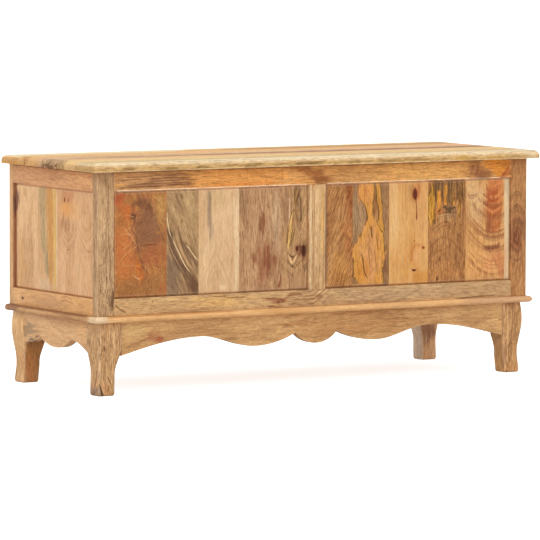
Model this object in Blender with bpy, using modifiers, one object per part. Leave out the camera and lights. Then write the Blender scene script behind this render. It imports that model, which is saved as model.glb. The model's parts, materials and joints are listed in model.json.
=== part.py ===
"""A storage chest on four bandsawn legs, framed and panelled in plank timber, with a hinged lid.

The case is four framed walls. Each wall has rails with tenons in the corner stiles, and loose plank
panels whose tongues lie in grooves all round. The case stands on a mitred base moulding, which lies
on the legs and on the scalloped aprons between them. The lid is five planks on two battens, and it
turns on two butt hinges let into the back edge.

Frame: +X along the length, -Y to the front, +Z up, and the ground at Z = 0. The origin is the
middle of the footprint of the whole object, hinge barrels included.
"""

import math

import bmesh
import bpy
from mathutils import Matrix, Vector

# Clearance between two pieces that touch, and between a tongue or tenon and its groove
GAP = 0.0003
# How far a cutter runs past the face it opens
OVERCUT = 0.004

# Case: outside length, depth and height, and its framing
CASE_LENGTH = 1.063
CASE_DEPTH = 0.377
CASE_HEIGHT = 0.2965
FRAME_THICKNESS = 0.019
STILE_WIDTH = 0.0395
MUNTIN_WIDTH = 0.040
TOP_RAIL_HEIGHT = 0.040
BOTTOM_RAIL_HEIGHT = 0.035

# Tongues, grooves and tenons
TONGUE_FACE = 0.0078
TONGUE_THICKNESS = 0.006
TONGUE_LENGTH = 0.006
TENON_LENGTH = 0.014
TENON_SHOULDER = 0.0085
SIDE_TENON_LENGTH = 0.009

# Panel boards: the face lies behind the frame, and its margin slopes back to the tongue.
# Each board but the last takes a share of its panel's width.
FIELD_RECESS = 0.0040
MARGIN_WIDTH = 0.0050
LEFT_PANEL_SHARES = (0.2706, 0.1625, 0.2078, 0.2197)
RIGHT_PANEL_SHARES = (0.1496, 0.1932, 0.2089, 0.2038, 0.2117)
SIDE_PANEL_SHARES = (0.4817,)

# Floor of the case
FLOOR_THICKNESS = 0.012
FLOOR_SHARES = (0.5,)
FLOOR_CLEARANCE = 0.0006

# Base moulding
MOULDING_THICKNESS = 0.0134
MOULDING_SIDE_REACH = 0.0105
MOULDING_FRONT_REACH = 0.0090
MOULDING_WIDTH = 0.060

# Legs: rectangular stock, the same outline on both outer faces. Each pair of sizes is the stock's
# wide side and its narrow side, at the top, the ankle and the foot.
LEG_HEIGHT = 0.152
LEG_TOP_SIZES = (0.056, 0.0465)
LEG_SIDE_INSET = 0.0075
LEG_FRONT_INSET = 0.0090
LEG_BACK_INSET = 0.0025
KNEE_HEIGHT = 0.116
KNEE_BULGE = 0.0028
ANKLE_HEIGHT = 0.043
ANKLE_INSET = 0.0045
ANKLE_SIZES = (0.0385, 0.0370)
FOOT_INSET = 0.0018
FOOT_SIZES = (0.0390, 0.0375)
FOOT_ROUNDING = 0.0045
HOLLOW_TOP_HEIGHT = 0.102
WIDE, NARROW = 0, 1

# Aprons
APRON_THICKNESS = 0.020
APRON_SETBACK = 0.0010
FRONT_END_DROP = 0.070
FRONT_ARCH_CENTRE = 0.283
FRONT_ARCH_DROP = 0.0385
FRONT_LOBE_CENTRE = 0.150
FRONT_LOBE_DROP = 0.0645
FRONT_CUSP_CENTRE = 0.0513
FRONT_CUSP_DROP = 0.041
CENTRE_LOBE_DROP = 0.065
SIDE_END_DROP = 0.065
SIDE_CUSP_CENTRE = 0.065
SIDE_CUSP_DROPS = (0.0435, 0.048)
BACK_APRON_DROP = 0.055

# Fineness of the drawn curves, and the angle past which an edge is shaded sharp
CURVE_STEPS = 6
SOLE_STEPS = 3
SHARP_ANGLE = math.radians(30.0)

# Lid
LID_GAP = 0.0008
LID_THICKNESS = 0.018
LID_SIDE_REACH = 0.0185
LID_FRONT_REACH = 0.0210
LID_ROUNDING = 0.0095
LID_ROUNDING_STEPS = 4
LID_SHARES = (0.2060, 0.1859, 0.2337, 0.1709)
BATTEN_WIDTH = 0.045
BATTEN_THICKNESS = 0.018
BATTEN_CLEARANCE = 0.012
BATTEN_ARRIS = 0.004

# Places of the battens and the hinges from the middle, as shares of the case's length
BATTEN_PLACE = 0.2822
HINGE_PLACE = 0.3151

# Butt hinges
HINGE_LENGTH = 0.0636
LEAF_THICKNESS = 0.0015
LEAF_REACH = 0.0165
BARREL_RADIUS = 0.0032
BARREL_STANDOFF = 0.0042
PIN_RADIUS = 0.0015
PIN_CLEARANCE = 0.0003
PIN_END = 0.0010
KNUCKLES = 5
KNUCKLE_GAP = 0.0004
ROUND_SIDES = 20

# Heights that the stack of pieces gives
MOULDING_Z = LEG_HEIGHT + GAP
CASE_Z = MOULDING_Z + MOULDING_THICKNESS + GAP
CASE_TOP = CASE_Z + CASE_HEIGHT
LID_Z = CASE_TOP + LID_GAP
LID_TOP = LID_Z + LID_THICKNESS
OPENING_Z = CASE_Z + BOTTOM_RAIL_HEIGHT
OPENING_TOP = CASE_TOP - TOP_RAIL_HEIGHT

# Depths: the whole object runs from the lid's front edge to the back of the hinge barrels
TOTAL_DEPTH = LID_FRONT_REACH + CASE_DEPTH + BARREL_STANDOFF + BARREL_RADIUS
CASE_FRONT = LID_FRONT_REACH - TOTAL_DEPTH / 2
CASE_BACK = CASE_FRONT + CASE_DEPTH
HINGE_Y = CASE_BACK + BARREL_STANDOFF
HINGE_Z = CASE_TOP + LID_GAP / 2
CASE_HALF = CASE_LENGTH / 2
TONGUE_BACK = TONGUE_FACE + TONGUE_THICKNESS

# Plank colours, as linear RGB
HONEY = (0.52, 0.27, 0.105)
STRAW = (0.62, 0.40, 0.20)
RUST = (0.42, 0.155, 0.050)
UMBER = (0.33, 0.18, 0.085)
ASH = (0.40, 0.27, 0.155)
CREAM = (0.68, 0.46, 0.26)
BRASS = (0.42, 0.28, 0.12)

PARTS = None
CUTTERS = None


def clear_scene():
    """Remove every object, and make one collection for the parts and one for the cutters."""
    for old in list(bpy.data.objects):
        bpy.data.objects.remove(old, do_unlink=True)
    groups = []
    for title in ("storage_box", "cutters"):
        group = bpy.data.collections.new(title)
        bpy.context.scene.collection.children.link(group)
        groups.append(group)
    return groups


def finish_for(name, colour, roughness=0.55, metallic=0.0):
    """Give one Principled material, named after the piece that wears it."""
    skin = bpy.data.materials.new(name + "_finish")
    skin.use_nodes = True
    shader = skin.node_tree.nodes["Principled BSDF"]
    shader.inputs["Base Color"].default_value = (*colour, 1.0)
    shader.inputs["Roughness"].default_value = roughness
    shader.inputs["Metallic"].default_value = metallic
    return skin


def add_object(name, shape, colour, roughness=0.55, metallic=0.0):
    """Turn a bmesh into a named part, or into a cutter where it has no colour.

    The object's origin is the middle of its box, and its location puts it in its place.
    """
    places = [vert.co for vert in shape.verts]
    low, high = (Vector([pick(co[i] for co in places) for i in range(3)]) for pick in (min, max))
    middle = (low + high) / 2
    bmesh.ops.translate(shape, verts=shape.verts, vec=-middle)
    bmesh.ops.recalc_face_normals(shape, faces=shape.faces)
    mesh = bpy.data.meshes.new(name)
    shape.to_mesh(mesh)
    shape.free()
    mesh.shade_smooth()
    mesh.set_sharp_from_angle(angle=SHARP_ANGLE)
    piece = bpy.data.objects.new(name, mesh)
    piece.location = middle
    if colour is None:
        piece.hide_render = True
        piece.display_type = "WIRE"
        CUTTERS.objects.link(piece)
    else:
        mesh.materials.append(finish_for(name, colour, roughness, metallic))
        PARTS.objects.link(piece)
    return piece


def block_shape(low, high):
    """Give a bmesh cube stretched between two opposite corners."""
    shape = bmesh.new()
    size = [b - a for a, b in zip(low, high)]
    middle = [(a + b) / 2 for a, b in zip(low, high)]
    place = Matrix.Translation(middle) @ Matrix.Diagonal((*size, 1.0))
    bmesh.ops.create_cube(shape, size=1.0, matrix=place)
    return shape


def block(name, low, high, colour=None):
    """Make a square-edged board between two opposite corners."""
    return add_object(name, block_shape(low, high), colour)


def rod(name, start, length, radius, colour=None, roughness=0.35, metallic=1.0):
    """Make a round bar along +X from its start point."""
    shape = bmesh.new()
    place = Matrix.Translation((start[0] + length / 2, start[1], start[2]))
    turn = Matrix.Rotation(math.pi / 2, 4, "Y")
    bmesh.ops.create_cone(
        shape, cap_ends=True, segments=ROUND_SIDES, radius1=radius, radius2=radius,
        depth=length, matrix=place @ turn,
    )
    return add_object(name, shape, colour, roughness, metallic)


def axis_point(axis, station, a, b):
    """Place a point at a station on an axis, with its other two coordinates in X, Y, Z order."""
    return {"X": (station, a, b), "Y": (a, station, b), "Z": (a, b, station)}[axis]


def loft(name, rings, colour):
    """Join closed rings of points, one after another, and cap the first and the last."""
    shape = bmesh.new()
    loops = [[shape.verts.new(point) for point in ring] for ring in rings]
    shape.faces.new(loops[0])
    shape.faces.new(loops[-1])
    count = len(loops[0])
    for near, far in zip(loops, loops[1:]):
        for i in range(count):
            j = (i + 1) % count
            shape.faces.new((near[i], near[j], far[j], far[i]))
    return add_object(name, shape, colour)


def tenoned_bar(name, axis, span, across, up, tenon_across, shoulder, reach, colour):
    """Make a rail or muntin with a tenon at each end, as a loft through six rectangles.

    The bar runs over span along its axis, across and up are its faces, and each tenon is reach
    long, with shoulders all round.
    """
    full = (across, up)
    stub = (tenon_across, (up[0] + shoulder, up[1] - shoulder))
    if axis == "Z":
        stub = ((across[0] + shoulder, across[1] - shoulder), tenon_across)
    stations = (
        (span[0] - reach, stub), (span[0], stub), (span[0], full),
        (span[1], full), (span[1], stub), (span[1] + reach, stub),
    )
    rings = []
    for station, ((a0, a1), (b0, b1)) in stations:
        corners = ((a0, b0), (a1, b0), (a1, b1), (a0, b1))
        rings.append([axis_point(axis, station, a, b) for a, b in corners])
    return loft(name, rings, colour)


def prism(name, axis, outline, low, high, colour=None):
    """Extrude a closed outline along an axis, from one station to another."""
    shape = bmesh.new()
    ring = [shape.verts.new(axis_point(axis, low, a, b)) for a, b in outline]
    face = shape.faces.new(ring)
    grown = bmesh.ops.extrude_face_region(shape, geom=[face])
    moved = [item for item in grown["geom"] if isinstance(item, bmesh.types.BMVert)]
    bmesh.ops.translate(shape, verts=moved, vec=axis_point(axis, high - low, 0.0, 0.0))
    return add_object(name, shape, colour)


def combine(piece, tool, operation="DIFFERENCE"):
    """Add an exact Boolean modifier to a piece."""
    step = piece.modifiers.new(tool.name, "BOOLEAN")
    step.operation = operation
    step.solver = "EXACT"
    step.object = tool


def hinge_axis():
    """Add the empty on the hinges' axis that carries every piece of the lid."""
    turning = bpy.data.objects.new("lid_hinge_axis", None)
    turning.location = (0.0, HINGE_Y, HINGE_Z)
    PARTS.objects.link(turning)
    return turning


def hang(piece, turning):
    """Parent a piece to the empty on the hinges' axis, and leave it where it is."""
    piece.parent = turning
    piece.location -= turning.location


def round_edges(piece, chosen, width, steps):
    """Round the edges that a test on their two end points picks."""
    mesh = piece.data
    weights = mesh.attributes.new("bevel_weight_edge", "FLOAT", "EDGE")
    for edge in mesh.edges:
        ends = [mesh.vertices[i].co + piece.location for i in edge.vertices]
        weights.data[edge.index].value = 1.0 if chosen(*ends) else 0.0
    bevel = piece.modifiers.new("rounding", "BEVEL")
    bevel.limit_method = "WEIGHT"
    bevel.width = width
    bevel.segments = steps


def board_edges(start, end, shares):
    """Give the two edges of each board across a width, with a gap at every joint.

    The last board takes what the named shares leave.
    """
    edges = []
    near = start
    for share in shares:
        width = share * (end - start)
        edges.append((near, near + width - GAP))
        near += width
    edges.append((near, end))
    return edges


class Wall:
    """One framed wall of the case, drawn in its own length and depth and then placed.

    Depth 0 is the wall's outer face and grows into the case. Along is X on the front and back
    walls and Y on the side walls.
    """

    def __init__(self, label, axis, outer, inward):
        self.label = label
        self.axis = axis
        self.outer = outer
        self.inward = inward

    def depth(self, near, far):
        """Turn two depths behind the outer face into a sorted world span."""
        ends = (self.outer + self.inward * near, self.outer + self.inward * far)
        return min(ends), max(ends)

    def corners(self, along, depths, heights):
        """Give the low and high world corners of a box in this wall."""
        deep = self.depth(*depths)
        if self.axis == "X":
            return (along[0], deep[0], heights[0]), (along[1], deep[1], heights[1])
        return (deep[0], along[0], heights[0]), (deep[1], along[1], heights[1])

    def groove_cutter(self, name, opening):
        """Make the space that a panel's tongues need round its opening."""
        reach = TONGUE_LENGTH + GAP
        along = (opening[0] - reach, opening[1] + reach)
        heights = (OPENING_Z - reach, OPENING_TOP + reach)
        low, high = self.corners(along, (TONGUE_FACE - GAP, TONGUE_BACK + GAP), heights)
        return block(name, low, high)

    def rail(self, part, span, heights, reach, colour):
        """Make a rail with a tenon at each end, and the cutters for its two mortises."""
        tenon = (TONGUE_FACE, TONGUE_BACK)
        faces = self.depth(0.0, FRAME_THICKNESS)
        shoulder = TENON_SHOULDER
        bar = tenoned_bar(
            f"{self.label}_{part}_rail", self.axis, span, faces, heights,
            self.depth(*tenon), shoulder, reach, colour,
        )
        cutters = []
        for end, (near, far) in enumerate(
            ((span[0] - reach - GAP, span[0] + OVERCUT), (span[1] - OVERCUT, span[1] + reach + GAP))
        ):
            low, high = self.corners(
                (near, far), (tenon[0] - GAP, tenon[1] + GAP),
                (heights[0] + shoulder - GAP, heights[1] - shoulder + GAP),
            )
            cutters.append(block(f"{self.label}_{part}_mortise_{end + 1}", low, high))
        return bar, cutters

    def board_outline(self):
        """Give the section of a panel board across its height, as depth and height."""
        tongue_low = OPENING_Z - TONGUE_LENGTH
        tongue_high = OPENING_TOP + TONGUE_LENGTH
        points = (
            (TONGUE_BACK, tongue_low), (TONGUE_FACE, tongue_low), (TONGUE_FACE, OPENING_Z + GAP),
            (FIELD_RECESS, OPENING_Z + MARGIN_WIDTH), (FIELD_RECESS, OPENING_TOP - MARGIN_WIDTH),
            (TONGUE_FACE, OPENING_TOP - GAP), (TONGUE_FACE, tongue_high), (TONGUE_BACK, tongue_high),
        )
        return [(self.outer + self.inward * deep, height) for deep, height in points]

    def margin_cutter(self, name, edge, outward):
        """Make the wedge that slopes a panel's upright margin back to its tongue."""
        points = (
            (edge - outward * MARGIN_WIDTH, FIELD_RECESS), (edge - outward * GAP, TONGUE_FACE),
            (edge + outward * (TONGUE_LENGTH + OVERCUT), TONGUE_FACE),
            (edge + outward * (TONGUE_LENGTH + OVERCUT), FIELD_RECESS - OVERCUT),
            (edge - outward * MARGIN_WIDTH, FIELD_RECESS - OVERCUT),
        )
        outline = []
        for along, deep in points:
            world = self.outer + self.inward * deep
            outline.append((along, world) if self.axis == "X" else (world, along))
        reach = TONGUE_LENGTH + OVERCUT
        return prism(name, "Z", outline, OPENING_Z - reach, OPENING_TOP + reach)

    def panel(self, part, opening, shares, colours):
        """Make the boards of one panel, with margins and tongues on its outer edges."""
        boards = board_edges(opening[0], opening[1], shares)
        outline = self.board_outline()
        last = len(boards) - 1
        for index, (near, far) in enumerate(boards):
            name = f"{self.label}_{part}board_{index + 1}"
            start = near - (TONGUE_LENGTH if index == 0 else 0.0)
            end = far + (TONGUE_LENGTH if index == last else 0.0)
            piece = prism(name, self.axis, outline, start, end, colours[index])
            if index == 0:
                combine(piece, self.margin_cutter(name + "_low_margin", opening[0], -1))
            if index == last:
                combine(piece, self.margin_cutter(name + "_high_margin", opening[1], 1))


def rail_heights():
    """Give the height span of the bottom rails and of the top rails."""
    return {"bottom": (CASE_Z, OPENING_Z), "top": (OPENING_TOP, CASE_TOP)}


def long_wall(wall, panels, tones):
    """Make a front or back wall between its stiles.

    Returns its rails by place, the groove cutter of each panel, and the mortise cutters by end.
    """
    span = (-CASE_HALF + STILE_WIDTH + GAP, CASE_HALF - STILE_WIDTH - GAP)
    half = MUNTIN_WIDTH / 2
    openings = ((span[0] - GAP, -half), (half, span[1] + GAP))
    grooves = [
        wall.groove_cutter(f"{wall.label}_groove_{side}", opening)
        for side, opening in zip(("left", "right"), openings)
    ]
    muntin = tenoned_bar(
        f"{wall.label}_muntin", "Z", (OPENING_Z + GAP, OPENING_TOP - GAP), (-half, half),
        wall.depth(0.0, FRAME_THICKNESS), wall.depth(TONGUE_FACE, TONGUE_BACK), TENON_SHOULDER,
        TENON_LENGTH, tones["muntin"],
    )
    low, high = wall.corners(
        (-half + TENON_SHOULDER - GAP, half - TENON_SHOULDER + GAP),
        (TONGUE_FACE - GAP, TONGUE_BACK + GAP),
        (OPENING_Z - TENON_LENGTH - GAP, OPENING_TOP + TENON_LENGTH + GAP),
    )
    muntin_space = block(f"{wall.label}_muntin_mortise", low, high)
    mortises = ([], [])
    for place, heights in rail_heights().items():
        bar, cutters = wall.rail(place, span, heights, TENON_LENGTH, tones[place])
        for groove in grooves:
            combine(bar, groove)
        combine(bar, muntin_space)
        for end in (0, 1):
            mortises[end].append(cutters[end])
    for groove in grooves:
        combine(muntin, groove)
    for (part, shares, colours), opening in zip(panels, openings):
        wall.panel(part, opening, shares, colours)
    return grooves, mortises


def side_wall(wall, tones, colours):
    """Make a side wall between the front and back stiles, and return its cutters by end."""
    span = (CASE_FRONT + FRAME_THICKNESS + GAP, CASE_BACK - FRAME_THICKNESS - GAP)
    opening = (span[0] - GAP, span[1] + GAP)
    groove = wall.groove_cutter(f"{wall.label}_groove", opening)
    mortises = ([], [])
    for place, heights in rail_heights().items():
        bar, cutters = wall.rail(place, span, heights, SIDE_TENON_LENGTH, tones[place])
        combine(bar, groove)
        for end in (0, 1):
            mortises[end].append(cutters[end])
    wall.panel("", opening, SIDE_PANEL_SHARES, colours)
    return groove, mortises


def stile(name, side, wall, cutters, colour):
    """Make a corner stile, and cut its grooves and mortises."""
    outer = side * CASE_HALF
    inner = side * (CASE_HALF - STILE_WIDTH)
    low, high = wall.corners(
        (min(outer, inner), max(outer, inner)), (0.0, FRAME_THICKNESS), (CASE_Z, CASE_TOP)
    )
    post = block(name, low, high, colour)
    for tool in cutters:
        combine(post, tool)


def case():
    """Make the four walls, the corner stiles and the floor of the case."""
    front = Wall("front", "X", CASE_FRONT, 1)
    back = Wall("back", "X", CASE_BACK, -1)
    left = Wall("left", "Y", -CASE_HALF, 1)
    right = Wall("right", "Y", CASE_HALF, -1)

    front_panels = (
        ("left_", LEFT_PANEL_SHARES, (RUST, ASH, STRAW, ASH, UMBER)),
        ("right_", RIGHT_PANEL_SHARES, (UMBER, HONEY, STRAW, UMBER, RUST, CREAM)),
    )
    back_panels = (("left_", (), (HONEY,)), ("right_", (), (STRAW,)))
    front_grooves, front_mortises = long_wall(
        front, front_panels, {"muntin": CREAM, "top": HONEY, "bottom": STRAW}
    )
    back_grooves, back_mortises = long_wall(
        back, back_panels, {"muntin": ASH, "top": STRAW, "bottom": HONEY}
    )
    left_groove, left_mortises = side_wall(left, {"top": HONEY, "bottom": STRAW}, (CREAM, STRAW))
    right_groove, right_mortises = side_wall(right, {"top": STRAW, "bottom": HONEY}, (HONEY, ASH))

    stile("front_left_stile", -1, front,
          [front_grooves[0], left_groove, *front_mortises[0], *left_mortises[0]], ASH)
    stile("front_right_stile", 1, front,
          [front_grooves[1], right_groove, *front_mortises[1], *right_mortises[0]], UMBER)
    stile("back_left_stile", -1, back,
          [back_grooves[0], left_groove, *back_mortises[0], *left_mortises[1]], HONEY)
    stile("back_right_stile", 1, back,
          [back_grooves[1], right_groove, *back_mortises[1], *right_mortises[1]], STRAW)

    inset = FRAME_THICKNESS + FLOOR_CLEARANCE
    near = CASE_FRONT + inset
    far = CASE_BACK - inset
    for number, (start, end) in enumerate(board_edges(near, far, FLOOR_SHARES), 1):
        block(f"floor_board_{number}", (-CASE_HALF + inset, start, CASE_Z),
              (CASE_HALF - inset, end, CASE_Z + FLOOR_THICKNESS), STRAW)


def nose_outline():
    """Give the moulding's section, as distance in from its outer edge and height."""
    radius = MOULDING_THICKNESS / 2
    points = []
    for step in range(2 * CURVE_STEPS + 1):
        turn = math.pi * (step / (2 * CURVE_STEPS) - 0.5)
        points.append((radius - radius * math.cos(turn), radius + radius * math.sin(turn)))
    points.append((MOULDING_WIDTH, MOULDING_THICKNESS))
    points.append((MOULDING_WIDTH, 0.0))
    return points


def moulding_length(name, start, end, colour):
    """Loft the nosed section between two end rules, each giving a plan point for a distance in."""
    outline = nose_outline()
    rings = [[(*rule(inset), MOULDING_Z + up) for inset, up in outline] for rule in (start, end)]
    return loft(name, rings, colour)


def base_moulding():
    """Make the ring that the case stands on: front, two mitred sides, and a plain back."""
    edge = CASE_HALF + MOULDING_SIDE_REACH
    front = CASE_FRONT - MOULDING_FRONT_REACH
    moulding_length(
        "front_moulding",
        lambda inset: (-edge + inset + GAP, front + inset),
        lambda inset: (edge - inset - GAP, front + inset), HONEY,
    )
    for label, side in (("left", -1), ("right", 1)):
        moulding_length(
            f"{label}_moulding",
            lambda inset, side=side: (side * (edge - inset), front + inset + GAP),
            lambda inset, side=side: (side * (edge - inset), CASE_BACK), UMBER,
        )
    inner = edge - MOULDING_WIDTH - GAP
    block("back_moulding", (-inner, CASE_BACK - MOULDING_WIDTH, MOULDING_Z),
          (inner, CASE_BACK, MOULDING_Z + MOULDING_THICKNESS), STRAW)


def eased(place, start, end, first, last):
    """Value on an S curve between two places, level at both."""
    share = (place - start) / (end - start)
    return first + (last - first) * (1 - math.cos(math.pi * share)) / 2


def leg_inset(height):
    """How far a leg's outer faces lie behind its top edge: out at the knee and in at the ankle."""
    if height >= KNEE_HEIGHT:
        share = (height - KNEE_HEIGHT) / (LEG_HEIGHT - KNEE_HEIGHT)
        return -KNEE_BULGE * math.cos(math.pi / 2 * share)
    if height >= ANKLE_HEIGHT:
        return eased(height, ANKLE_HEIGHT, KNEE_HEIGHT, ANKLE_INSET, -KNEE_BULGE)
    return eased(height, 0.0, ANKLE_HEIGHT, FOOT_INSET, ANKLE_INSET)


def leg_reach(height, side):
    """How far a leg's inner face lies behind its top edge: furthest above the hollow."""
    ankle = ANKLE_INSET + ANKLE_SIZES[side]
    if height >= HOLLOW_TOP_HEIGHT:
        return LEG_TOP_SIZES[side]
    if height >= ANKLE_HEIGHT:
        return eased(height, ANKLE_HEIGHT, HOLLOW_TOP_HEIGHT, ankle, LEG_TOP_SIZES[side])
    return eased(height, 0.0, ANKLE_HEIGHT, FOOT_INSET + FOOT_SIZES[side], ankle)


def leg_sections():
    """Give the height, outer inset and two inner reaches of each section, from the sole up."""
    heights = [(FOOT_ROUNDING * (1 - math.cos(math.pi / 2 * step / SOLE_STEPS)), FOOT_ROUNDING,
                FOOT_ROUNDING * (1 - math.sin(math.pi / 2 * step / SOLE_STEPS)))
               for step in range(SOLE_STEPS)]
    knots = (FOOT_ROUNDING, ANKLE_HEIGHT, HOLLOW_TOP_HEIGHT, LEG_HEIGHT)
    for near, far in zip(knots, knots[1:]):
        places = [near + (far - near) * step / CURVE_STEPS for step in range(CURVE_STEPS)]
        heights += [(place, place, 0.0) for place in places]
    heights.append((LEG_HEIGHT, LEG_HEIGHT, 0.0))
    return [
        (height, leg_inset(drawn) + shrink,
         [leg_reach(drawn, side) - shrink for side in (WIDE, NARROW)])
        for height, drawn, shrink in heights
    ]


def leg(name, side, at_back, to_front, colour):
    """Make one leg as a loft through its sections, the same curve on both outer faces.

    The side of the stock that to_front names faces the front.
    """
    corner_x = side * (CASE_HALF - LEG_SIDE_INSET)
    corner_y = CASE_BACK - LEG_BACK_INSET if at_back else CASE_FRONT + LEG_FRONT_INSET
    inward = -1 if at_back else 1
    rings = []
    for height, near, reaches in leg_sections():
        far_x, far_y = reaches[to_front], reaches[1 - to_front]
        corners = ((near, near), (far_x, near), (far_x, far_y), (near, far_y))
        rings.append([(corner_x - side * a, corner_y + inward * b, height) for a, b in corners])
    loft(name, rings, colour)


def arc_height(place, bottom, edge, low, high):
    """Height on the circular arc whose lowest point is at bottom and that meets edge at high."""
    half = abs(edge - bottom)
    rise = high - low
    radius = (half * half + rise * rise) / (2 * rise)
    return low + radius - math.sqrt(radius * radius - (place - bottom) ** 2)


def arch_drop(place, start, end, high, low):
    """Depth of a curve that leaves an arch's top level and falls to a leg."""
    share = (place - start) / (end - start)
    return low + (high - low) * math.cos(math.pi / 2 * share)


def front_apron_drop(place, half):
    """Depth of the front apron below its top edge, at a place left or right of its middle."""
    place = abs(place)
    if place <= FRONT_CUSP_CENTRE:
        return -arc_height(place, 0.0, FRONT_CUSP_CENTRE, -CENTRE_LOBE_DROP, -FRONT_CUSP_DROP)
    if place <= FRONT_LOBE_CENTRE:
        return -arc_height(
            place, FRONT_LOBE_CENTRE, FRONT_CUSP_CENTRE, -FRONT_LOBE_DROP, -FRONT_CUSP_DROP
        )
    if place <= FRONT_ARCH_CENTRE:
        return eased(place, FRONT_LOBE_CENTRE, FRONT_ARCH_CENTRE, FRONT_LOBE_DROP, FRONT_ARCH_DROP)
    return arch_drop(place, FRONT_ARCH_CENTRE, half, FRONT_ARCH_DROP, FRONT_END_DROP)


def side_apron_drop(place, half):
    """Depth of a side apron below its top edge, at a place before or behind its middle."""
    cusp = SIDE_CUSP_DROPS[0 if place < 0 else 1]
    if abs(place) <= SIDE_CUSP_CENTRE:
        return -arc_height(abs(place), 0.0, SIDE_CUSP_CENTRE, -CENTRE_LOBE_DROP, -cusp)
    if place > 0:
        return -arc_height(place, half, SIDE_CUSP_CENTRE, -SIDE_END_DROP, -cusp)
    return arch_drop(-place, SIDE_CUSP_CENTRE, half, cusp, SIDE_END_DROP)


def apron_outline(middle, half, drop, knots):
    """Give an apron's outline, with its lower edge drawn through even steps between the knots."""
    places = [0.0]
    for near, far in zip(knots, knots[1:]):
        places += [near + (far - near) * step / CURVE_STEPS for step in range(1, CURVE_STEPS + 1)]
    places = [-place for place in reversed(places[1:])] + places
    lower = [(middle + place, LEG_HEIGHT - drop(place, half)) for place in places]
    return [*lower, (middle + half, LEG_HEIGHT), (middle - half, LEG_HEIGHT)]


def apron(name, axis, middle, half, drop, knots, face, inward, colour):
    """Make one apron board between two legs."""
    outline = apron_outline(middle, half, drop, knots)
    across = "Y" if axis == "X" else "X"
    return prism(name, across, outline, face, face + inward * APRON_THICKNESS, colour)


def stand():
    """Make the four legs and the four aprons between them."""
    leg("front_left_leg", -1, False, WIDE, ASH)
    leg("front_right_leg", 1, False, NARROW, STRAW)
    leg("back_left_leg", -1, True, WIDE, HONEY)
    leg("back_right_leg", 1, True, WIDE, UMBER)

    wide, narrow = LEG_TOP_SIZES
    end = CASE_HALF - LEG_SIDE_INSET - GAP
    knots = (0.0, FRONT_CUSP_CENTRE, FRONT_LOBE_CENTRE, FRONT_ARCH_CENTRE)
    middle, half = (wide - narrow) / 2, end - (wide + narrow) / 2
    apron("front_apron", "X", middle, half, front_apron_drop, (*knots, half),
          CASE_FRONT + LEG_FRONT_INSET + APRON_SETBACK, 1, HONEY)
    apron("back_apron", "X", 0.0, end - wide, lambda place, reach: BACK_APRON_DROP,
          (0.0, end - wide), CASE_BACK - LEG_BACK_INSET - APRON_SETBACK, -1, STRAW)

    far = CASE_BACK - LEG_BACK_INSET - narrow - GAP
    for label, side, depth in (("left", -1, narrow), ("right", 1, wide)):
        near = CASE_FRONT + LEG_FRONT_INSET + depth + GAP
        half = (far - near) / 2
        face = side * (CASE_HALF - LEG_SIDE_INSET - APRON_SETBACK)
        apron(f"{label}_apron", "Y", (near + far) / 2, half, side_apron_drop,
              (0.0, SIDE_CUSP_CENTRE, half), face, -side, STRAW)


def hinge(number, centre, turning):
    """Make one butt hinge: two leaves with interlocking knuckles, and the pin.

    Returns the spaces that its leaves need, first in the case and then in the lid.
    """
    start = centre - HINGE_LENGTH / 2
    pitch = HINGE_LENGTH / KNUCKLES
    front = HINGE_Y - BARREL_STANDOFF - LEAF_REACH
    root = HINGE_Y - PIN_RADIUS - PIN_CLEARANCE - GAP
    plates = (
        ("case", CASE_TOP - LEAF_THICKNESS, CASE_TOP, (0, 2, 4), (GAP, OVERCUT)),
        ("lid", LID_Z, LID_Z + LEAF_THICKNESS, (1, 3), (OVERCUT, GAP)),
    )
    bore = rod(f"hinge_{number}_bore", (start - OVERCUT, HINGE_Y, HINGE_Z),
               HINGE_LENGTH + 2 * OVERCUT, PIN_RADIUS + PIN_CLEARANCE)
    spaces = []
    for label, low, high, own, (room_below, room_above) in plates:
        name = f"hinge_{number}_{label}_leaf"
        shape = block_shape((start, front, low), (start + HINGE_LENGTH, root, high))
        leaf = add_object(name, shape, BRASS, 0.35, 1.0)
        for index in range(KNUCKLES):
            near = start + index * pitch
            if index in own:
                first = KNUCKLE_GAP / 2 if index > 0 else 0.0
                last = KNUCKLE_GAP / 2 if index < KNUCKLES - 1 else 0.0
                knuckle = rod(f"{name}_knuckle_{index + 1}", (near + first, HINGE_Y, HINGE_Z),
                              pitch - first - last, BARREL_RADIUS)
                combine(leaf, knuckle, "UNION")
                continue
            room = BARREL_RADIUS + KNUCKLE_GAP
            notch = block(f"{name}_notch_{index + 1}",
                          (near - KNUCKLE_GAP / 2, HINGE_Y - room, low - OVERCUT),
                          (near + pitch + KNUCKLE_GAP / 2, HINGE_Y + room, high + OVERCUT))
            combine(leaf, notch)
        combine(leaf, bore)
        if label == "lid":
            hang(leaf, turning)
        spaces.append(block(f"{name}_seat", (start - GAP, front - GAP, low - room_below),
                            (start + HINGE_LENGTH + GAP, HINGE_Y, high + room_above)))
    rod(f"hinge_{number}_pin", (start - PIN_END, HINGE_Y, HINGE_Z), HINGE_LENGTH + 2 * PIN_END,
        PIN_RADIUS, BRASS)
    return spaces


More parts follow.
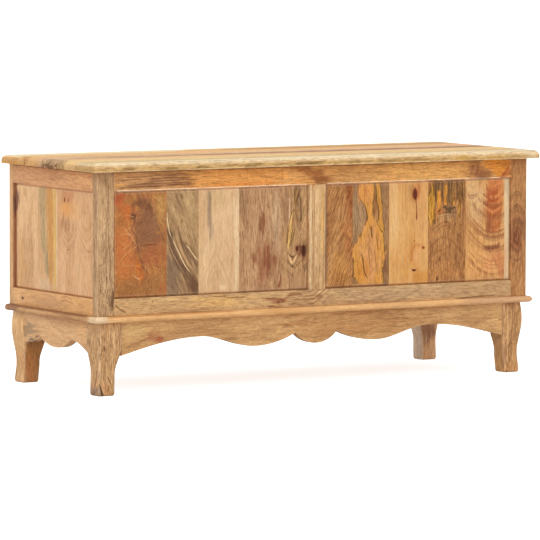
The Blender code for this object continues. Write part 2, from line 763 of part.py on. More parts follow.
def lid(turning):
    """Make the lid's planks and battens on the hinges' axis, and return the back plank."""
    half = CASE_HALF + LID_SIDE_REACH
    front = CASE_FRONT - LID_FRONT_REACH
    rows = board_edges(front, CASE_BACK, LID_SHARES)
    tones = (CREAM, STRAW, HONEY, ASH, STRAW)
    middle_height = LID_Z + LID_THICKNESS / 2

    def upper_rim(one, two):
        """Tell the lid's outer top edges from the rest."""
        if min(one.z, two.z) < middle_height:
            return False
        on_end = abs(one.x - two.x) < GAP
        on_front = max(one.y, two.y) < front + GAP
        on_back = min(one.y, two.y) > CASE_BACK - GAP
        return on_end or on_front or on_back

    planks = []
    for number, ((near, far), tone) in enumerate(zip(rows, tones), 1):
        plank = block(f"lid_board_{number}", (-half, near, LID_Z), (half, far, LID_TOP), tone)
        round_edges(plank, upper_rim, LID_ROUNDING, LID_ROUNDING_STEPS)
        hang(plank, turning)
        planks.append(plank)

    inset = FRAME_THICKNESS + BATTEN_CLEARANCE
    top = LID_Z - GAP
    for label, side in (("left", -1), ("right", 1)):
        centre = side * BATTEN_PLACE * CASE_LENGTH
        batten = block(f"{label}_lid_batten",
                       (centre - BATTEN_WIDTH / 2, CASE_FRONT + inset, top - BATTEN_THICKNESS),
                       (centre + BATTEN_WIDTH / 2, CASE_BACK - inset, top), STRAW)
        round_edges(batten, lambda one, two: max(one.z, two.z) < top - BATTEN_THICKNESS + GAP,
                    BATTEN_ARRIS, 1)
        hang(batten, turning)
    return planks[-1]


def main():
    """Build the whole chest."""
    global PARTS, CUTTERS
    PARTS, CUTTERS = clear_scene()
    case()
    base_moulding()
    stand()
    turning = hinge_axis()
    back_plank = lid(turning)
    back_rail = bpy.data.objects["back_top_rail"]
    for number, side in enumerate((-1, 1), 1):
        case_seat, lid_seat = hinge(number, side * HINGE_PLACE * CASE_LENGTH, turning)
        combine(back_rail, case_seat)
        combine(back_plank, lid_seat)


main()
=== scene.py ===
"""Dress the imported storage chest: planks, mouldings, legs, hinges and the studio round them.

Every wooden piece is a fine mesh in the place of its plain solid, with arrises eased and curves drawn
smoothly, and wears a timber finish of its own: growth rings round a pith line, fibre, pores, streaks,
knots and patches at their real size in metres. The hinges keep their solids and gain screws.
"""

from __future__ import annotations

import json
import logging
import math
import random
import sys
from collections.abc import Callable, Iterable, Sequence
from dataclasses import dataclass, field, replace
from enum import Enum
from typing import ClassVar, NamedTuple, Protocol

import bmesh
import bpy
from mathutils import Matrix, Vector

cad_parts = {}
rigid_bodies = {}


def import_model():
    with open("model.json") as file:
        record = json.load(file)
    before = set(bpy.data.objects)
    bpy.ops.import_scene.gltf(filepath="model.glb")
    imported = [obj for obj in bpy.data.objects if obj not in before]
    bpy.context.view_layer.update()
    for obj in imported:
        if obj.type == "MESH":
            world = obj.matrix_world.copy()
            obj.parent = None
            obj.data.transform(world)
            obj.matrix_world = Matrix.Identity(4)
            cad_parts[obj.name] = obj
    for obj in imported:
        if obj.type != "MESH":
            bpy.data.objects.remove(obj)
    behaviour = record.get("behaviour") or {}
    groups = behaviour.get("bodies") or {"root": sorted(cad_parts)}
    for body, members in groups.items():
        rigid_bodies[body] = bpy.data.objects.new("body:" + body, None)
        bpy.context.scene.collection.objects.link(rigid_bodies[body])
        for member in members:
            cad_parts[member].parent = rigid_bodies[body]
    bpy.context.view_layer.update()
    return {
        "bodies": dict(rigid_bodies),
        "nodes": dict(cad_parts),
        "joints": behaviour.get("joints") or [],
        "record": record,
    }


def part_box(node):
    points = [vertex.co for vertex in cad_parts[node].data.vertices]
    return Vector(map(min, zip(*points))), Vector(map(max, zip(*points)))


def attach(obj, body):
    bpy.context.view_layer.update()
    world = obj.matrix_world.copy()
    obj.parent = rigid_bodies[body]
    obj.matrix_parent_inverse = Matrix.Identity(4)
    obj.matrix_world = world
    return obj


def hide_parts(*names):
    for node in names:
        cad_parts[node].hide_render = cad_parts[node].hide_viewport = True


LOG = logging.getLogger("storage_box")

Point = tuple[float, float, float]
Socket = bpy.types.NodeSocket
NEAR = 1.0e-4  # places closer than this, in metres, are the same
EDGE_REACH = 4.0  # how far a ragged edge strays, in half widths
EVEN = (1.0, 1.0, 1.0)  # a noise read in its own lengths, and a glaze that tints nothing
ARRIS = "arris"  # the layer of a mesh that says how worn each face is


class Shade(NamedTuple):
    """A colour as the eye reads it, in steps from 0 to 255."""

    red: float
    green: float
    blue: float

    @property
    def linear(self) -> tuple[float, float, float, float]:
        """Give the colour as linear light with full alpha."""
        return (*(((v / 255 + 0.055) / 1.055) ** 2.4 if v > 10 else v / 3294 for v in self), 1.0)

    def scaled(self, factor: float) -> Shade:
        """Give the same hue, lighter or darker."""
        return Shade(*(min(255.0, v * factor) for v in self))


class Run(Enum):
    """Which way a plank's grain runs, as the order of along, across and depth among X, Y and Z."""

    UPRIGHT_FRONT = (2, 0, 1)
    UPRIGHT_SIDE = (2, 1, 0)
    LENGTHWISE = (0, 2, 1)
    LENGTHWISE_FLAT = (0, 1, 2)
    DEEPWISE = (1, 2, 0)
    DEEPWISE_FLAT = (1, 0, 2)


class Face(Enum):
    """The face that a mark is drawn on, as its two axes and the axis it runs through."""

    FRONT = (0, 2, 1)
    SIDE = (1, 2, 0)
    TOP = (0, 1, 2)


class Body(Enum):
    """The rigid bodies that pieces ride on."""

    CHEST = "chest"
    LID = "lid"


class Figure(Protocol):
    """Anything that is drawn on one face of a plank and runs through it."""

    def lay(self, desk: Desk, world: Socket, edge: Socket, colour: Socket, face: Face) -> Socket:
        """Draw over a colour and give the new one.

        Args:
            desk: Where its nodes are laid out.
            world: The place on the piece, in metres.
            edge: The noise that frays its rim.
            colour: The colour underneath.
            face: The plank's face, where it names none of its own.

        Returns:
            The colour with it.
        """


@dataclass(frozen=True)
class Mark:
    """A patch or short streak: a ragged ellipse.

    Sizes are half lengths in metres, across the face and up it, before the lean in degrees.
    """

    at: tuple[float, float]
    half: tuple[float, float]
    shade: Shade
    strength: float = 0.8
    lean: float = 0.0
    soft: float = 0.55
    ragged: float = 0.8
    face: Face | None = None

    def lay(self, desk: Desk, world: Socket, edge: Socket, colour: Socket, face: Face) -> Socket:
        """Lay the ellipse over the colour.

        Args:
            desk: Where its nodes are laid out.
            world: The place on the piece, in metres.
            edge: The noise that frays its rim.
            colour: The colour underneath.
            face: The plank's face, where it names none of its own.

        Returns:
            The colour with it.
        """
        local = desk.ellipse(world, self.at, self.half, self.face or face, self.lean)
        away = desk.vector("LENGTH", local)
        away = desk.math("MULTIPLY_ADD", edge, self.ragged * EDGE_REACH, away)
        share = desk.remap(away, 1.0 + self.soft, 1.0 - self.soft, 0.0, self.strength)
        return desk.mix(share, colour, self.shade.linear)


@dataclass(frozen=True)
class Vein:
    """A line or band along a smooth curve through places on a face, fading at both ends.

    Each place is across and up in metres, with the band's half width there if it isn't the same all
    along. The places go steadily up the face, or across it where the vein is level.
    """

    places: tuple[tuple[float, ...], ...]
    half: float
    shade: Shade
    strength: float = 0.8
    level: bool = False
    soft: float = 0.6
    ragged: float = 0.4
    fade: float = 0.16
    rim: Shade | None = None
    face: Face | None = None

    RIM_WIDTHS: ClassVar[tuple[float, float]] = (0.0019, 0.0004)
    RIM_STRENGTH: ClassVar[float] = 0.85

    def lay(self, desk: Desk, world: Socket, edge: Socket, colour: Socket, face: Face) -> Socket:
        """Lay the band over the colour, and its outline over that.

        Args:
            desk: Where its nodes are laid out.
            world: The place on the piece, in metres.
            edge: The noise that frays its rim.
            colour: The colour underneath.
            face: The plank's face, where it names none of its own.

        Returns:
            The colour with it.
        """
        first, second, _ = (self.face or face).value
        parts = desk.parts(world)
        ways = [(p[0], p[1], p[2] if len(p) > 2 else self.half) for p in self.places]
        flow, across = parts[first], parts[second]
        if not self.level:
            flow, across = across, flow
            ways = [(p[1], p[0], p[2]) for p in ways]
        ways.sort()
        start, end = ways[0][0], ways[-1][0]
        share = desk.math("DIVIDE", desk.math("SUBTRACT", flow, start), end - start)
        middle, width = (
            desk.curve(share, [((p[0] - start) / (end - start), p[way]) for p in ways])
            for way in (1, 2))
        away = desk.math("DIVIDE", desk.math("ABSOLUTE", desk.math("SUBTRACT", across, middle)), width)
        away = desk.math("MULTIPLY_ADD", edge, self.ragged * EDGE_REACH, away)
        ends = desk.times(desk.remap(share, 0.0, self.fade), desk.remap(share, 1.0, 1.0 - self.fade))
        inside = desk.remap(away, 1.0 + self.soft, 1.0 - self.soft, 0.0, self.strength)
        colour = desk.mix(desk.times(inside, ends), colour, self.shade.linear)
        if self.rim is None:
            return colour
        gap = desk.times(desk.math("ABSOLUTE", desk.math("SUBTRACT", away, 1.0)), width)
        line = desk.times(desk.remap(gap, *self.RIM_WIDTHS, 0.0, self.RIM_STRENGTH), ends)
        return desk.mix(line, colour, self.rim.linear)


@dataclass(frozen=True)
class Arches:
    """Nested lines of grain in one soft ellipse: arches where they bow up, cups where down.

    The bow is how far a line falls from its crown to the ellipse's side. A point of 1 makes it a
    straight-sided V and 2 a round arch.
    """

    at: tuple[float, float]
    half: tuple[float, float]
    pitch: float
    bow: float
    shade: Shade
    strength: float = 0.6
    point: float = 1.8
    lean: float = 0.0

    WAVER: ClassVar[float] = 0.007
    LINE: ClassVar[tuple[float, float]] = (0.47, 0.62)
    FADE: ClassVar[tuple[float, float]] = (1.2, 0.6)
    SEED_STEP: ClassVar[float] = 40.0

    def lay(self, desk: Desk, world: Socket, edge: Socket, colour: Socket, face: Face) -> Socket:
        """Lay the lines over the colour.

        Args:
            desk: Where its nodes are laid out.
            world: The place on the piece, in metres.
            edge: The noise that frays its rim.
            colour: The colour underneath.
            face: The plank's face.

        Returns:
            The colour with it.
        """
        local = desk.ellipse(world, self.at, self.half, face, self.lean)
        parts = desk.parts(local)
        away = desk.vector("LENGTH", local)
        side = desk.math("POWER", desk.math("ABSOLUTE", parts[face.value[0]]), self.point)
        height = desk.math("MULTIPLY_ADD", parts[face.value[1]], self.half[1],
                           desk.times(side, self.bow))
        height = desk.math("MULTIPLY_ADD", edge, self.WAVER, height)
        turn = desk.math("DIVIDE", height, self.pitch)
        lines = desk.noise(desk.joined(turn, sum(self.at) * self.SEED_STEP, 0.3), EVEN)
        share = desk.times(desk.remap(lines, *self.LINE), desk.remap(
            desk.math("MULTIPLY_ADD", edge, 2.0, away), *self.FADE, 0.0, self.strength))
        return desk.mix(share, colour, self.shade.linear)


@dataclass(frozen=True)
class Knot:
    """A knot that pushes the grain round it: a dark heart in a coloured halo."""

    at: tuple[float, float]
    half: tuple[float, float]
    heart: Shade
    halo: Shade
    reach: float = 1.8

    HALO_STRENGTH: ClassVar[float] = 0.6
    HEART_STRENGTH: ClassVar[float] = 0.93
    PUSH: ClassVar[float] = 0.75
    PUSHED_REACH: ClassVar[float] = 2.6

    def marks(self) -> tuple[Mark, Mark]:
        """Give the halo and the heart as two marks.

        Returns:
            The halo, and the heart that lies over it.
        """
        wide = (self.half[0] * self.reach, self.half[1] * self.reach)
        return (
            Mark(self.at, wide, self.halo, self.HALO_STRENGTH, soft=0.6, ragged=0.5),
            Mark(self.at, self.half, self.heart, self.HEART_STRENGTH, soft=0.35, ragged=0.35),
        )


@dataclass(frozen=True)
class Timber:
    """How one plank is coloured and figured. Lengths are in metres, and the glaze tints it all."""

    pale: Shade
    middle: Shade
    deep: Shade
    run: Run
    pitch: float = 0.0075
    rings: float = 0.45
    pith: tuple[float, float] = (0.02, 0.06)
    taper: float = 0.05
    wander: float = 0.016
    curl: float = 0.0
    lean: float = 0.0
    pores: float = 0.5
    fibre: float = 0.5
    glaze: Point = EVEN
    figure: tuple[Figure, ...] = ()
    knots: tuple[Knot, ...] = ()

    @property
    def face(self) -> Face:
        """Give the face that the plank shows."""
        return next(face for face in Face if face.value[2] == self.run.value[2])


class Layer(NamedTuple):
    """A layer of noise: its features' lengths in metres, its detail, and where it sets in."""

    size: Point
    detail: float
    low: float
    high: float


class Desk:
    """Lays out nodes in one node tree and joins them."""

    ROW = 14
    ACROSS, DOWN = 190.0, -230.0

    def __init__(self, tree: bpy.types.NodeTree) -> None:
        """Take the tree to work in."""
        self.tree = tree
        self.count = 0

    @classmethod
    def material(cls, name: str) -> tuple[bpy.types.Material, Desk, bpy.types.Node]:
        """Make a material, and give it with its desk and its surface node."""
        made = bpy.data.materials.new(name)
        made.use_nodes = True
        return made, cls(made.node_tree), made.node_tree.nodes["Principled BSDF"]

    def node(self, kind: str, **settings: object) -> bpy.types.Node:
        """Add a node.

        Args:
            kind: The node's type name.
            settings: Its properties.

        Returns:
            The new node, placed after the last one.
        """
        made = self.tree.nodes.new(kind)
        row, column = divmod(self.count, self.ROW)
        made.location = (self.ACROSS * column, self.DOWN * row)
        self.count += 1
        for key, value in settings.items():
            setattr(made, key, value)
        return made

    def feed(self, socket: Socket, value: object) -> None:
        """Link a socket to an output, or set its plain value."""
        if isinstance(value, bpy.types.NodeSocket):
            self.tree.links.new(value, socket)
        else:
            socket.default_value = value

    def fill(self, node: bpy.types.Node, values: dict[str | int, object]) -> None:
        """Feed a node's inputs by their titles."""
        for title, value in values.items():
            self.feed(node.inputs[title], value)

    def math(self, operation: str, *values: object, clamp: bool = False) -> Socket:
        """Add a Math node and give its result."""
        made = self.node("ShaderNodeMath", operation=operation, use_clamp=clamp)
        for socket, value in zip(made.inputs, values):
            self.feed(socket, value)
        return made.outputs[0]

    def times(self, one: object, two: object) -> Socket:
        """Give one number times another."""
        return self.math("MULTIPLY", one, two)

    def vector(self, operation: str, *values: object) -> Socket:
        """Add a Vector Math node and give its result, a number where it measures a length."""
        made = self.node("ShaderNodeVectorMath", operation=operation)
        for socket, value in zip(made.inputs, values):
            self.feed(socket, value)
        return made.outputs["Value" if operation == "LENGTH" else "Vector"]

    def scaled(self, vector: Socket, factor: object) -> Socket:
        """Give a vector times a number."""
        made = self.node("ShaderNodeVectorMath", operation="SCALE")
        self.fill(made, {0: vector, "Scale": factor})
        return made.outputs[0]

    def joined(self, *parts: object) -> Socket:
        """Give a vector made of three numbers."""
        made = self.node("ShaderNodeCombineXYZ")
        for socket, value in zip(made.inputs, parts):
            self.feed(socket, value)
        return made.outputs[0]

    def parts(self, vector: Socket) -> list[Socket]:
        """Give the three numbers of a vector."""
        made = self.node("ShaderNodeSeparateXYZ")
        self.feed(made.inputs[0], vector)
        return list(made.outputs)

    def noise(self, at: Socket, size: Point, detail: float = 2.0, twist: float = 0.0) -> Socket:
        """Add a noise whose features have a given size in metres along each axis.

        Args:
            at: Where it is read, in metres.
            size: The length of a feature along each axis.
            detail: How many finer layers it has.
            twist: How far it distorts itself.

        Returns:
            Its value, about 0.5 in the middle.
        """
        place = self.vector("MULTIPLY", at, tuple(1.0 / length for length in size))
        made = self.node("ShaderNodeTexNoise")
        self.fill(made, {"Vector": place, "Scale": 1.0, "Detail": detail, "Distortion": twist})
        return made.outputs["Fac"]

    def layer(self, at: Socket, layer: Layer, start: float = 0.0, end: float = 1.0) -> Socket:
        """Give a layer of grain, as a smooth step from start to end."""
        return self.remap(self.noise(at, layer.size, layer.detail), layer.low, layer.high, start, end)

    def bump(self, shader: bpy.types.Node, height: Socket, strength: float, deep: float) -> None:
        """Raise a surface by a height, as far in metres as it is deep."""
        made = self.node("ShaderNodeBump")
        self.fill(made, {"Strength": strength, "Distance": deep, "Height": height})
        self.feed(shader.inputs["Normal"], made.outputs[0])

    def remap(self, value: object, low: float, high: float, start: object = 0.0,
              end: object = 1.0) -> Socket:
        """Give a smooth step from start to end, as a value goes from low to high."""
        made = self.node("ShaderNodeMapRange", interpolation_type="SMOOTHSTEP")
        for socket, item in zip(made.inputs, (value, low, high, start, end)):
            self.feed(socket, item)
        return made.outputs[0]

    def mix(self, factor: object, one: object, two: object, blend: str = "MIX") -> Socket:
        """Mix two colours."""
        made = self.node("ShaderNodeMix", data_type="RGBA", blend_type=blend)
        self.fill(made, {0: factor, 6: one, 7: two})
        return made.outputs[2]

    def ramp(self, factor: Socket, stops: Sequence[tuple[float, Shade]]) -> Socket:
        """Give a colour ramp's colour.

        Args:
            factor: Where on the ramp it is read.
            stops: Places and their shades.

        Returns:
            The colour.
        """
        made = self.node("ShaderNodeValToRGB")
        elements = made.color_ramp.elements
        while len(elements) < len(stops):
            elements.new(0.5)
        for element, (place, shade) in zip(elements, stops):
            element.position = place
            element.color = shade.linear
        self.feed(made.inputs[0], factor)
        return made.outputs[0]

    def curve(self, share: Socket, ways: Sequence[tuple[float, float]]) -> Socket | float:
        """Give a value that runs smoothly through the given ones.

        Args:
            share: How far along it is, from 0 to 1.
            ways: The shares and their values, in order.

        Returns:
            The value's socket, or the value itself where it is the same all along.
        """
        low = min(value for _, value in ways)
        rise = max(value for _, value in ways) - low
        if rise < 1.0e-6:
            return low
        made = self.node("ShaderNodeFloatCurve")
        line = made.mapping.curves[0]
        for _ in ways[2:]:
            line.points.new(0.5, 0.5)
        for point, (place, value) in zip(line.points, ways):
            point.location = (place, (value - low) / rise)
        made.mapping.update()
        self.feed(made.inputs["Value"], share)
        return self.math("MULTIPLY_ADD", made.outputs[0], rise, low)

    def ellipse(self, world: Socket, at: Sequence[float], half: Sequence[float], face: Face,
                lean: float) -> Socket:
        """Give a place on a face in an ellipse's own lengths, so that its rim is 1 away.

        Args:
            world: The place, in metres.
            at: The ellipse's middle on the face.
            half: Its half lengths.
            face: The face.
            lean: Its lean, in degrees.

        Returns:
            The place from the middle, 1 long on the rim.
        """
        a, b, through = face.value
        place, size, turn = [0.0] * 3, [1.0] * 3, [0.0] * 3
        place[a], place[b] = at
        size[a], size[b], size[through] = *half, 1.0e4
        turn[through] = math.radians(lean)
        made = self.node("ShaderNodeMapping", vector_type="TEXTURE")
        self.fill(made, {"Vector": world, "Location": place, "Rotation": turn, "Scale": size})
        return made.outputs[0]


class GrainGroup:
    """The node group that all timber shares: rings, fibre and pores in plank coordinates."""

    NAME = "plank_grain"
    VECTORS = ("Vector", "Pith")
    INPUTS = ("Vector", "Seed", "Pitch", "Rings", "Pith", "Taper", "Wander", "Curl", "Fibre", "Pores")
    OUTPUTS = ("Tone", "Dark", "Light", "Height", "Edge")
    UNEVEN = Layer((0.22, 0.03, 0.03), 2.0, 0.36, 0.62)
    FINE = Layer((0.024, 0.0024, 0.0024), 3.0, 0.45, 0.63)
    GRIT = Layer((0.010, 0.0026, 0.0026), 2.0, 0.46, 0.64)
    LONG_GLEAM = Layer((0.024, 0.0026, 0.0026), 2.0, 0.54, 0.70)
    SHORT_GLEAM = Layer((0.008, 0.0026, 0.0026), 1.0, 0.56, 0.72)
    SHORT_PORE = Layer((0.011, 0.0012, 0.0012), 1.0, 0.60, 0.68)
    LONG_PORE = Layer((0.028, 0.0030, 0.0030), 1.0, 0.645, 0.70)
    GATHERED = Layer((0.12, 0.02, 0.02), 2.0, 0.42, 0.60)
    HAIR = (0.016, 0.0008, 0.0008)
    EDGE = (0.045, 0.0080, 0.0080)
    DRIFT = (0.26, 0.045, 0.06)
    RIPPLE = (0.05, 0.011, 0.02)
    PATCH = (0.17, 0.032, 0.05)
    FLECK = (0.035, 0.0055, 0.0055)
    SWIRL = 0.045
    SEED_STEPS = (1.31, 0.77)
    RING_STEPS, LATE = (1.15, 2.2), (0.50, 0.70)
    GRIT_SHARE, HAIR_SHARE, FINE_SHARE = 0.6, 0.35, 0.8
    THREAD_SHARE, RING_SHARE = 0.44, 0.62
    RING_DETAIL, TONE_DETAIL, EDGE_DETAIL = 2.5, 3.0, 4.0
    LEAST_RING, LEAST_PORES = 0.25, 0.15
    LATE_DEPTH, PORE_DEPTH = 0.25, 0.9
    RIPPLE_SHARE, SWING_REACH = 0.22, 4.0
    TONE_STEPS = (0.42, 1.6)
    BAND_SHARE, PATCH_SHARE, FLECK_SHARE = 0.95, 0.75, 0.55
    TONE_SHIFT, PATCH_TWIST = 0.625, 0.4

    def __init__(self) -> None:
        """Build the group."""
        self.tree = bpy.data.node_groups.new(self.NAME, "ShaderNodeTree")
        for way, titles in (("INPUT", self.INPUTS), ("OUTPUT", self.OUTPUTS)):
            for title in titles:
                kind = "Vector" if title in self.VECTORS else "Float"
                self.tree.interface.new_socket(
                    name=title, in_out=way, socket_type=f"NodeSocket{kind}")
        desk = Desk(self.tree)
        given = desk.node("NodeGroupInput").outputs
        seed = given["Seed"]
        shift = desk.joined(*(desk.times(seed, step) for step in self.SEED_STEPS), seed)
        loose = self.curled(desk, desk.vector("ADD", given["Vector"], shift), given["Curl"])
        radius = self.radius(desk, given, loose)
        turn = desk.math("DIVIDE", radius, given["Pitch"])
        along = desk.parts(loose)[0]
        place = self.stretched(desk, (turn, along), self.RING_STEPS, seed)
        band = desk.noise(place, EVEN, self.RING_DETAIL)
        late = desk.remap(band, *self.LATE)
        uneven = desk.layer(loose, self.UNEVEN, self.LEAST_RING)
        ring = desk.times(desk.times(late, uneven), given["Rings"])
        tone = self.tone(desk, loose, turn, along, seed)
        hair = desk.noise(loose, self.HAIR)
        thread = desk.math("MULTIPLY_ADD", desk.layer(loose, self.GRIT), self.GRIT_SHARE, desk.math(
            "MULTIPLY_ADD", hair, self.HAIR_SHARE, desk.layer(loose, self.FINE, 0.0, self.FINE_SHARE)))
        thread = desk.times(thread, given["Fibre"])
        gleam = desk.math("MAXIMUM", desk.layer(loose, self.LONG_GLEAM),
                          desk.layer(loose, self.SHORT_GLEAM))
        light = desk.times(gleam, given["Fibre"])
        pore = self.pores(desk, loose, given["Pores"])
        lines = desk.math("ADD", desk.times(thread, self.THREAD_SHARE),
                          desk.times(ring, self.RING_SHARE))
        dark = desk.math("MAXIMUM", lines, pore, clamp=True)
        height = desk.math("SUBTRACT", desk.times(hair, self.HAIR_SHARE), desk.math(
            "MULTIPLY_ADD", late, self.LATE_DEPTH, desk.times(pore, self.PORE_DEPTH)))
        edge = desk.math("SUBTRACT", desk.noise(loose, self.EDGE, self.EDGE_DETAIL), 0.5)
        desk.fill(desk.node("NodeGroupOutput"),
                  dict(zip(self.OUTPUTS, (tone, dark, light, height, edge))))

    @staticmethod
    def stretched(desk: Desk, ways: tuple[Socket, Socket], steps: tuple[float, float],
                  seed: Socket) -> Socket:
        """Give the place of a band of noise that follows the rings."""
        return desk.joined(*(desk.times(*pair) for pair in zip(ways, steps)), seed)

    @classmethod
    def curled(cls, desk: Desk, loose: Socket, curl: Socket) -> Socket:
        """Swirl the fibres, as in a burr."""
        swirl = desk.node("ShaderNodeTexNoise")
        desk.fill(swirl, {"Vector": desk.scaled(loose, 1.0 / cls.SWIRL), "Scale": 1.0, "Detail": 2.0})
        push = desk.vector("SUBTRACT", swirl.outputs["Color"], (0.5, 0.5, 0.5))
        return desk.vector("ADD", loose, desk.scaled(push, curl))

    @classmethod
    def radius(cls, desk: Desk, given: bpy.types.NodeOutputs, loose: Socket) -> Socket:
        """Give the distance from the pith line, which tapers and wanders along the plank.

        Args:
            desk: Where the nodes are laid out.
            given: The group's inputs.
            loose: The place in the plank, shifted by its seed and swirled.

        Returns:
            The distance, in metres.
        """
        away = desk.vector("SUBTRACT", given["Vector"], given["Pith"])
        along, across, depth = desk.parts(away)
        round_pith = desk.vector("LENGTH", desk.joined(0.0, across, depth))
        drift, ripple = (
            desk.math("SUBTRACT", desk.noise(loose, size), 0.5) for size in (cls.DRIFT, cls.RIPPLE))
        swing = desk.times(desk.math(
            "MULTIPLY_ADD", ripple, cls.RIPPLE_SHARE, drift), given["Wander"])
        slope = desk.times(along, given["Taper"])
        return desk.math("ADD", desk.math("ADD", round_pith, slope),
                         desk.times(swing, cls.SWING_REACH))

    @classmethod
    def tone(cls, desk: Desk, loose: Socket, turn: Socket, along: Socket, seed: Socket) -> Socket:
        """Give the broad colour swing, part of it following the rings.

        Args:
            desk: Where the nodes are laid out.
            loose: The place in the plank, shifted by its seed and swirled.
            turn: How many rings lie inside it.
            along: How far along the plank it is.
            seed: The plank's seed.

        Returns:
            The place on the plank's colour ramp.
        """
        place = cls.stretched(desk, (turn, along), cls.TONE_STEPS, seed)
        band = desk.noise(place, EVEN, cls.TONE_DETAIL)
        patch = desk.noise(loose, cls.PATCH, cls.TONE_DETAIL, cls.PATCH_TWIST)
        fleck = desk.noise(loose, cls.FLECK, cls.TONE_DETAIL)
        total = desk.math("ADD", desk.times(band, cls.BAND_SHARE),
                          desk.times(patch, cls.PATCH_SHARE))
        total = desk.math("MULTIPLY_ADD", fleck, cls.FLECK_SHARE, total)
        return desk.math("SUBTRACT", total, cls.TONE_SHIFT)

    @classmethod
    def pores(cls, desk: Desk, loose: Socket, amount: Socket) -> Socket:
        """Give the open pores: short ticks along the grain, in two sizes."""
        both = desk.math("MAXIMUM", desk.layer(loose, cls.SHORT_PORE),
                         desk.layer(loose, cls.LONG_PORE))
        gathered = desk.times(both, desk.layer(loose, cls.GATHERED, cls.LEAST_PORES))
        return desk.times(gathered, amount)


class TimberFinish:
    """Builds one plank's material from its timber."""

    GLOSS = 0.46
    SHEEN = 0.16
    SHEEN_FLAT = 0.04
    # how much pale wear the arrises take
    RUBBED = 0.09
    TINT = Shade(130, 98, 76)
    WORN = Shade(255, 240, 214)
    GLEAM = (1.26, 1.25, 1.22, 1.0)
    DULLING = 0.16
    BUMP = (0.35, 0.0006)
    TONES = (0.18, 0.5, 0.82)
    CUT_FROM, CUT_TO, CUT_SHARE = 0.75, 0.98, 0.22
    CUT = Shade(120, 78, 46)
    SEEDS = 97

    def __init__(self, grain: GrainGroup) -> None:
        """Take the shared grain group."""
        self.grain = grain

    def build(self, node: str, timber: Timber) -> bpy.types.Material:
        """Make the material.

        Args:
            node: The plank's name, which seeds its pattern and gives its place.
            timber: Its colours and figure.

        Returns:
            The finished material.
        """
        material, desk, shader = Desk.material(f"{node}_timber")
        where = desk.node("ShaderNodeTexCoord")
        world = plain = where.outputs["Object"]
        for knot in timber.knots:
            world = self.pushed(desk, world, knot, timber.face)
        grain = self.grain_of(desk, world, node, timber)
        colour = desk.ramp(grain.outputs["Tone"], tuple(
            zip(self.TONES, (timber.deep, timber.middle, timber.pale))))
        for item in (*timber.figure, *(mark for knot in timber.knots for mark in knot.marks())):
            colour = item.lay(desk, plain, grain.outputs["Edge"], colour, timber.face)
        colour = desk.mix(grain.outputs["Dark"], colour, self.TINT.linear, "MULTIPLY")
        colour = desk.mix(grain.outputs["Light"], colour, self.GLEAM, "MULTIPLY")
        colour = desk.mix(1.0, colour, (*timber.glaze, 1.0), "MULTIPLY")
        colour = self.ends(desk, where, colour, timber.run)
        arris = desk.node("ShaderNodeAttribute", attribute_name=ARRIS).outputs["Fac"]
        colour = desk.mix(desk.times(arris, self.RUBBED), colour, self.WORN.linear)
        flat = timber.run in (Run.LENGTHWISE_FLAT, Run.DEEPWISE_FLAT)
        desk.fill(shader, {
            "Base Color": colour,
            "Roughness": desk.math("MULTIPLY_ADD", grain.outputs["Dark"], self.DULLING, self.GLOSS),
            "Specular IOR Level": self.SHEEN_FLAT if flat else self.SHEEN,
        })
        desk.bump(shader, grain.outputs["Height"], *self.BUMP)
        return material

    def grain_of(self, desk: Desk, world: Socket, node: str, timber: Timber) -> bpy.types.Node:
        """Add the grain group, read along the plank from its middle.

        Args:
            desk: Where the nodes are laid out.
            world: The place, with the knots' push.
            node: The plank's name.
            timber: Its timber.

        Returns:
            The group's node.
        """
        low, high = corners(node)
        local = desk.parts(desk.vector("SUBTRACT", world, tuple((low + high) / 2)))
        turned = desk.node("ShaderNodeMapping", vector_type="POINT")
        desk.fill(turned, {
            "Vector": desk.joined(*(local[axis] for axis in timber.run.value)),
            "Rotation": (0.0, 0.0, math.radians(timber.lean)),
        })
        group = desk.node("ShaderNodeGroup", node_tree=self.grain.tree)
        desk.fill(group, {
            "Vector": turned.outputs[0],
            "Seed": float(sum(ord(c) * (i + 3) for i, c in enumerate(node)) % self.SEEDS),
            "Pitch": timber.pitch, "Rings": timber.rings, "Pith": (0.0, *timber.pith),
            "Taper": timber.taper, "Wander": timber.wander, "Curl": timber.curl,
            "Fibre": timber.fibre, "Pores": timber.pores,
        })
        return group

    @staticmethod
    def pushed(desk: Desk, world: Socket, knot: Knot, face: Face) -> Socket:
        """Move the place where the grain is read, so that it flows round a knot.

        Args:
            desk: Where the nodes are laid out.
            world: The place, in metres.
            knot: The knot.
            face: The face that it is on.

        Returns:
            The moved place.
        """
        a, b, through = face.value
        wide = [half * knot.PUSHED_REACH for half in knot.half]
        away = desk.vector("LENGTH", desk.ellipse(world, knot.at, wide, face, 0.0))
        fall = desk.math("EXPONENT", desk.times(desk.math("POWER", away, 2.0), -1.0))
        centre, keep = [0.0] * 3, [1.0] * 3
        centre[a], centre[b] = knot.at
        keep[through] = 0.0
        offset = desk.vector("MULTIPLY", desk.vector("SUBTRACT", world, centre), keep)
        move = desk.scaled(offset, desk.times(fall, knot.PUSH))
        return desk.vector("SUBTRACT", world, move)

    @classmethod
    def ends(cls, desk: Desk, where: bpy.types.Node, colour: Socket, run: Run) -> Socket:
        """Darken the sawn ends, where the grain is cut across."""
        facing = desk.math("ABSOLUTE", desk.parts(where.outputs["Normal"])[run.value[0]])
        share = desk.remap(facing, cls.CUT_FROM, cls.CUT_TO, 0.0, cls.CUT_SHARE)
        return desk.mix(share, colour, cls.CUT.linear)


